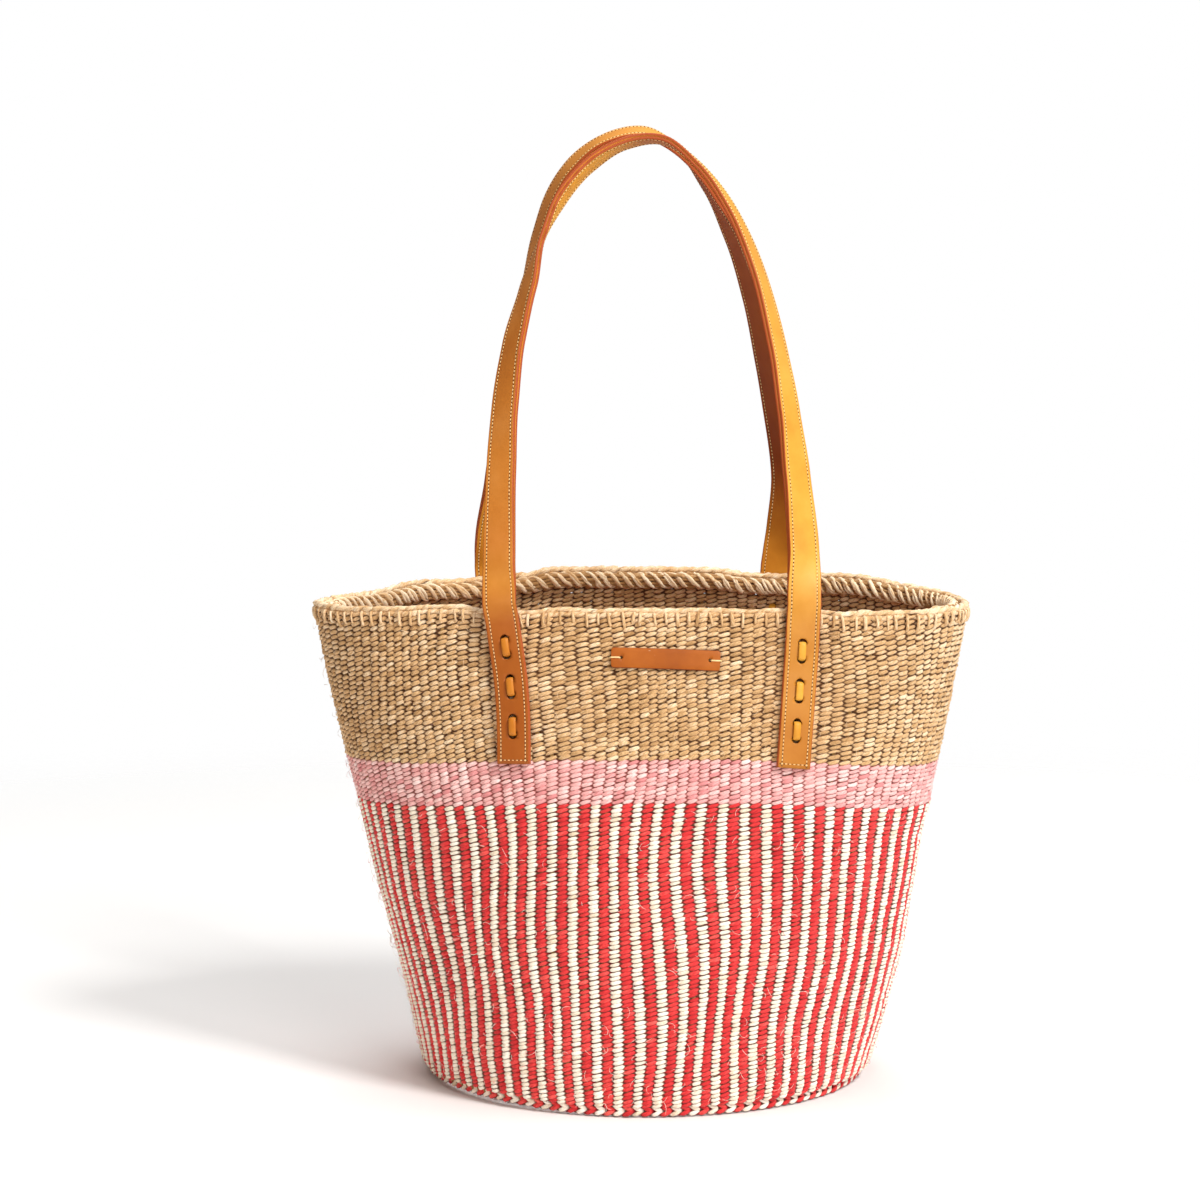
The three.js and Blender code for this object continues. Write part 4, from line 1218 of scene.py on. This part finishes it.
def cut_round(piece, centres, directions, diameter, depth):
    """Cuts round holes with one boolean, from a mesh of round punches. The cut walls take a dark brown finish:
    painted shade inside the holes.
    """
    verts, faces = [], []
    for centre, direction in zip(centres, directions):
        side = unit(np.cross(direction, (0.3, 0.2, 0.93)))  # no hole points that way
        up = np.cross(direction, side)
        start = len(verts)
        for end in (-1, 1):
            for i in range(PUNCH_SIDES):
                angle = 2 * math.pi * i / PUNCH_SIDES
                rim = (side * math.cos(angle) + up * math.sin(angle)) * diameter / 2
                verts.append(tuple(centre + rim + direction * end * depth / 2))
        near, far = range(start, start + PUNCH_SIDES), range(start + PUNCH_SIDES, start + 2 * PUNCH_SIDES)
        for i in range(PUNCH_SIDES):
            j = (i + 1) % PUNCH_SIDES
            faces.append((near[i], near[j], far[j], far[i]))
        faces += [tuple(reversed(near)), tuple(far)]
    mesh = bpy.data.meshes.new("punch")
    mesh.from_pydata(verts, [], faces)
    mesh.materials.append(hole_shade_leather)
    punch = new_object("punch", mesh)
    modifier = piece.modifiers.new("holes", "BOOLEAN")
    modifier.object, modifier.operation, modifier.solver = punch, "DIFFERENCE", "EXACT"
    modifier.material_mode = "TRANSFER"
    uncut = keep_result(piece)
    mark_cuts(uncut, piece.data, centres, diameter)
    bpy.data.objects.remove(punch)
    for used in (uncut, mesh):
        bpy.data.meshes.remove(used)


# %% [markdown]
# ## The lacing
# Three short stitches of leather thong hold each strap end to the wall. Every stitch comes out through the
# lower of two round holes and goes back through the upper one, so a dark gap shows above and below it.

# %% Lacing path
LACE_PITCH = 22.3 * MM
LACE_SPAN = 9 * MM
LACE_MARGIN = 21 * MM
HOLE = 5 * MM
THONG_WIDTH = 4.3 * MM
THONG_THICKNESS = 1.7 * MM
LACE_STITCHES = 3
LACE_TAILS = (14 * MM, 6 * MM)  # how far the two ends hang below the lowest and the highest hole, inside
LACE_SLACK = 1 * MM
LACE_ARCH = 0.35 * MM
LACE_BEND = 1.6 * MM
PUNCH_DEPTH = 14 * MM


def hole_distances():
    """How far the holes lie from the lower edge of a strap end."""
    middles = LACE_MARGIN + LACE_PITCH * np.arange(LACE_STITCHES)
    return np.sort(np.concatenate([middles - LACE_SPAN / 2, middles + LACE_SPAN / 2]))


class StrapEnd:
    """Spots on a strap end by their distance from its lower edge."""

    def __init__(self, handle, end):
        place, outer, gap = handle.end(end, 12)
        self.place, self.outer, self.gap = place[::-1], outer[::-1], gap[::-1]
        self.run = run_along(self.place)
        self.steps = unit(np.diff(self.place, axis=0))

    def spot(self, distance):
        """Place, outer direction, direction up the strap and distance to the wall."""
        place = np.array([np.interp(distance, self.run, self.place[:, i]) for i in range(3)])
        outer = unit(np.array([np.interp(distance, self.run, self.outer[:, i]) for i in range(3)]))
        step = self.steps[min(np.searchsorted(self.run, distance), len(self.steps)) - 1]
        return place, outer, step, np.interp(distance, self.run, self.gap)


def thong_frames(strap_end):
    """The thong's middle line: out and in through the holes, with soft corners."""
    outside = STRAP_THICKNESS / 2 + PIECE_GAP + THONG_THICKNESS / 2
    holes = hole_distances()
    lower, upper = holes[0] - LACE_TAILS[0], holes[-1] - LACE_TAILS[1]

    def inside(distance):
        return -(strap_end.spot(distance)[3] + WALL_THICKNESS + LACE_SLACK + THONG_THICKNESS / 2)

    route = [(lower, inside(lower))]
    for i, distance in enumerate(holes):
        between = (distance + (holes[i + 1] if i + 1 < len(holes) else upper)) / 2
        if i % 2 == 0:
            route += [(distance, inside(distance)), (distance, outside), (between, outside + LACE_ARCH)]
        else:
            route += [(distance, outside), (distance, inside(distance)), (between, inside(between))]
    route = np.array(route + [(upper, inside(upper))])
    flat = [route[0]]
    for before, corner, after in zip(route, route[1:], route[2:]):
        start, finish = (corner + LACE_BEND * unit(other - corner) for other in (before, after))
        for t in np.linspace(0, 1, 6):
            flat.append(start * (1 - t) ** 2 + corner * 2 * t * (1 - t) + finish * t**2)
    flat.append(route[-1])
    spots = [strap_end.spot(distance) for distance, _ in flat]
    place = np.array([spot[0] + spot[1] * out for spot, (_, out) in zip(spots, flat)])
    across = np.array([unit(np.cross(spot[2], spot[1])) for spot in spots])
    tangent = np.gradient(place, axis=0)
    return {"place": place, "across": across, "outer": unit(np.cross(across, tangent))}


thong_section = [(math.cos(a) * THONG_WIDTH / 2, math.sin(a) * THONG_THICKNESS / 2)
                 for a in np.linspace(0, -2 * np.pi, 13)[:-1]]
print("lace holes, mm from the lower edge:", np.round(hole_distances() / MM, 1))

# %% [markdown]
# ## Making the straps
# The outer ply and the lining are each one continuous band per handle, cut with the lace holes. The band
# crosses the fold, where the handle hinges.

# %% Straps and laces
# How strongly each face is browned by painted shade (on the grain also by its own darker tone), reddened by
# painted warm shade, or creased along its run, from the left end on the wall to the right one
GRAIN_TONE_AND_SHADE = [(0, 1), (0.1, 0.95), (0.13, 0.45), (0.2, 0.2), (0.3, 0.35), (0.38, 0.25), (0.52, 0.05), (0.86, 0),
              (0.9, 0.5), (1, 0.65)]
GRAIN_WARM_SHADE = [(0, 0), (0.1, 0.15), (0.16, 1), (0.42, 1), (0.54, 0.2), (1, 0.2)]
LINING_PAINTED_SHADE = {"front": [(0, 0.6), (0.14, 0.6), (0.22, 0.3), (0.28, 0), (0.46, 0), (0.5, 0.8), (1, 0.8)],
               "back": [(0, 0.4), (0.3, 0.4), (0.5, 0.5), (0.56, 1), (0.8, 1), (0.88, 0.45), (1, 0.45)]}
CREASED = {"front": [(0, 0), (0.32, 0), (0.36, 0.9), (0.44, 0.9), (0.47, 0), (1, 0)], "back": [(0, 0), (1, 0)]}


def ride_over_fold(piece):
    """Bakes the piece's placement into its mesh."""
    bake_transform(piece)


for handle in HANDLES:
    frames = whole_strap(handle)
    run_share = frames["run"] / frames["run"][-1]
    ends = {name: StrapEnd(handle, end) for name, end in (("left", -1), ("right", 1))}
    punches = [strap_end.spot(distance) for strap_end in ends.values() for distance in hole_distances()]
    for ply, direction, finish, slot, table in (
        ("outer", 1, strap_leather, "leather", GRAIN_TONE_AND_SHADE),
        ("lining", -1, lining_leather, "leather_lining", LINING_PAINTED_SHADE[handle.name]),
    ):
        creased = read_table(CREASED[handle.name], run_share) if direction < 0 else 0.0
        warm_shade = read_table(GRAIN_WARM_SHADE, run_share) if direction > 0 else 0.0
        piece = band(f"{handle.name}_strap_{ply}", frames, ply_section(direction), finish,
                     aged=read_table(table, run_share), creased=creased, warm_shade=warm_shade)
        cut_round(piece, [spot[0] for spot in punches], [spot[1] for spot in punches], HOLE, PUNCH_DEPTH)
        ride_over_fold(piece)
        loop_node = f"{handle.name}_handle_{ply}_ply"
        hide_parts(loop_node, *(f"{handle.name}_{name}_strap_end_{ply}" for name in ends))
    for name, strap_end in ends.items():
        # The thongs on the left are browned in full: painted shade on the side away from the key lamp.
        lace = band(f"{handle.name}_{name}_thong", thong_frames(strap_end), thong_section, lace_leather,
                    aged=float(name == "left"))
        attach(lace, "basket")
        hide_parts(f"{handle.name}_{name}_lace")
    print(handle.name, "strap length, mm:", round(frames["run"][-1] / MM, 1))

# %% [markdown]
# ## Edge stitching
# A sewing machine runs pale waxed thread along both edges of the strap, on both faces, 2.4 mm in. Each
# stitch is a short bead, set in the groove, and a dark needle hole lies between two beads. The tree walks
# along a seam line in steps of one stitch and puts both there, turned along the seam.

# %% Stitch tree
def stitch_tree():
    inputs = {"Seam line": "Geometry", "Stitch pitch": "Float", "Stitch length": "Float",
              "Thread radius": "Float", "Hole size": "Float", "Thread finish": "Material",
              "Hole finish": "Material"}
    tree, given = new_tree("seam", inputs, "Stitches")
    curve = add_node(tree, "GeometryNodeMeshToCurve", {"Mesh": given["Seam line"]}).outputs[0]
    points = {"Curve": curve, "Length": given["Stitch pitch"]}
    points = add_node(tree, "GeometryNodeCurveToPoints", points, mode="LENGTH").outputs
    facing = point_attribute(tree, "outward", "FLOAT_VECTOR")
    axes = {"Primary Axis": facing, "Secondary Axis": points["Tangent"]}
    turned = add_node(tree, "FunctionNodeAxesToRotation", axes, primary_axis="Z", secondary_axis="X")
    turned = turned.outputs[0]
    parts = []
    for length, width, narrowed, moved, finish, rings in (
        ("Stitch length", "Thread radius", 1.0, 0.0, "Thread finish", 4),
        ("Hole size", "Hole size", 0.5, 0.5, "Hole finish", 2),
    ):
        bead = {"Segments": 6, "Rings": rings, "Radius": 1.0}
        bead = add_node(tree, "GeometryNodeMeshUVSphere", bead).outputs[0]
        half = calculate(tree, "MULTIPLY", given[length], 0.5)
        across = calculate(tree, "MULTIPLY", given[width], narrowed)
        size = add_node(tree, "ShaderNodeCombineXYZ", {0: half, 1: across, 2: across}).outputs[0]
        shift = calculate(tree, "MULTIPLY", given["Stitch pitch"], moved)
        shift = add_node(tree, "ShaderNodeCombineXYZ", {0: shift}).outputs[0]
        part = {"Geometry": bead, "Scale": size, "Translation": shift}
        part = add_node(tree, "GeometryNodeTransform", part).outputs[0]
        part = {"Geometry": part, "Material": given[finish]}
        parts.append(add_node(tree, "GeometryNodeSetMaterial", part).outputs[0])
    joined = add_node(tree, "GeometryNodeJoinGeometry")
    for part in reversed(parts):
        tree.links.new(part, joined.inputs[0])
    placed = {"Points": points["Points"], "Instance": joined.outputs[0], "Rotation": turned}
    stitches = add_node(tree, "GeometryNodeInstanceOnPoints", placed).outputs[0]
    stitches = add_node(tree, "GeometryNodeRealizeInstances", {"Geometry": stitches}).outputs[0]
    stitches = add_node(tree, "GeometryNodeSetShadeSmooth", {"Geometry": stitches}).outputs[0]
    add_node(tree, "NodeGroupOutput", {"Stitches": stitches})
    return tree


SEAM_TREE = stitch_tree()
print("seam tree:", len(SEAM_TREE.nodes), "nodes")


# %% Thread and needle holes
THREAD_GRAIN = 0.8 * MM


def thread_finish(name, dark, light, roughness):
    material, tree, shader = new_material(name)
    place = add_node(tree, "ShaderNodeTexCoord").outputs["Object"]
    noise = add_node(tree, "ShaderNodeTexNoise", {"Vector": place, "Scale": 1 / THREAD_GRAIN}).outputs[0]
    colour = colour_ramp(tree, noise, (0.0, dark), (1.0, light))
    fill(tree, shader, {"Base Color": colour, "Roughness": roughness})
    return material


waxed_thread = thread_finish("waxed_thread", "#E8C078", "#FFEAB4", 0.6)
needle_hole = thread_finish("needle_hole_shade", "#4A2410", "#6B3818", 0.9)

# %% Sewing
STITCH_PITCH = 2.15 * MM
SEAM_SIZES = {"Stitch pitch": STITCH_PITCH, "Stitch length": STITCH_PITCH * 0.74, "Thread radius": 0.3 * MM,
              "Hole size": 0.9 * MM, "Thread finish": waxed_thread, "Hole finish": needle_hole}
THREAD_RISE = 0.1 * MM


def seam_lines(frames):
    """The four seam lines of a strap and the cross seams at its two ends."""
    lines = []
    for direction in (1, -1):
        height = direction * (PLY_FACE - GROOVE + THREAD_RISE)
        outward = frames["outer"] * direction
        inner = slice(1, -1)
        for side in (-SEAM, SEAM):
            line = frames["place"] + frames["across"] * side + frames["outer"] * height
            lines.append((line[inner], outward[inner]))
        for row in (1, -2):
            across = np.linspace(-SEAM, SEAM, 9)[:, None] * frames["across"][row]
            line = frames["place"][row] + across + frames["outer"][row] * (height + direction * THREAD_RISE)
            lines.append((line, np.broadcast_to(outward[row], line.shape)))
    return lines


for handle in HANDLES:
    lanes = [{"place": place, "outward": outward, "upward": (0, 0, 1), "turn": 0.0, "swell": 1.0,
              "tone": 0.0, "along": 0.0} for place, outward in seam_lines(whole_strap(handle))]
    stitches = grow(f"{handle.name}_edge_stitching", SEAM_TREE, lanes, False, SEAM_SIZES)
    ride_over_fold(stitches)
    print(stitches.name, len(stitches.data.polygons), "faces")

# %% [markdown]
# ## The label
# A bare leather tab, 61 mm long, sits under the rim at the front. A short stitch of thread through a hole at
# each end holds it.

# %% Label
LABEL_LENGTH = 61 * MM
LABEL_WIDTH = 11.6 * MM
LABEL_THICKNESS = 1.6 * MM
LABEL_X = 10 * MM
LABEL_HEIGHT = 257 * MM
LABEL_DROOP = 1.7 * MM
LABEL_CORNER = 1.6 * MM
LABEL_HOLE = 1.8 * MM
LABEL_HOLE_MARGIN = 5 * MM
LABEL_PUNCH_DEPTH = 6 * MM
# The stitch from inside the hole over the end to the wall: mm from the label's end, and mm outwards
LABEL_STITCH = ((5, -1), (5, 0.6), (4.6, 1.1), (2.5, 1.2), (0.4, 1.1), (-0.5, 0.5), (-0.6, -1))

half_length = LABEL_LENGTH / 2
inset = LABEL_CORNER * (1 - np.cos(np.linspace(0, np.pi / 2, 6)))
along_label = np.concatenate([-half_length + inset, np.linspace(-half_length, half_length, 33)[2:-2],
                              half_length - inset[::-1]])
label_places, label_outers = [], []
for along in along_label:
    height = LABEL_HEIGHT - along / LABEL_LENGTH * LABEL_DROOP
    spot, outer = wall_spot(height / BODY_HEIGHT, LABEL_X + along, -1)
    label_places.append(spot + outer * (PIECE_GAP + LABEL_THICKNESS / 2))
    label_outers.append(outer)
label_frames = strap_frames(np.array(label_places), np.array(label_outers))
from_end = np.clip(half_length - np.abs(along_label), 0, LABEL_CORNER)
corner_cut = LABEL_CORNER - np.sqrt(LABEL_CORNER**2 - (LABEL_CORNER - from_end) ** 2)
label_widths = 1 - 2 * corner_cut / LABEL_WIDTH
# Half the width, half the thickness and how far the edges are rounded
w, h, r = LABEL_WIDTH / 2, LABEL_THICKNESS / 2, 0.4 * MM
label_section = [(-w + r, h), (-w / 2, h + 0.05 * MM), (0, h + 0.06 * MM), (w / 2, h + 0.05 * MM), (w - r, h),
                 (w - r / 3, h - r / 3), (w, h - r), (w, -h + r), (w - r / 3, -h + r / 3), (w - r, -h),
                 (-w + r, -h), (-w + r / 3, -h + r / 3), (-w, -h + r), (-w, h - r), (-w + r / 3, h - r / 3)]
label = band("leather_label", label_frames, label_section[::-1], label_leather, label_widths)
holes = [np.argmin(np.abs(along_label - end * (half_length - LABEL_HOLE_MARGIN))) for end in (-1, 1)]
cut_round(label, label_frames["place"][holes], label_frames["outer"][holes], LABEL_HOLE, LABEL_PUNCH_DEPTH)
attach(label, "basket")
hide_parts("label_tab")

for name, end in (("left", -1), ("right", 1)):
    path = []
    for from_edge, out in LABEL_STITCH:
        along = end * (half_length - from_edge * MM)
        nearest = np.argmin(np.abs(along_label - along))
        path.append(label_frames["place"][nearest] + label_frames["outer"][nearest] * out * MM
                    + np.array([along - along_label[nearest], 0, 0]))
    twine(f"label_stitch_thread_{name}", [plain_lane(np.array(path))], waxed_thread,
          f"label_stitch_{name}", (0.42 * MM, 0.42 * MM), sides=8, closed=False)
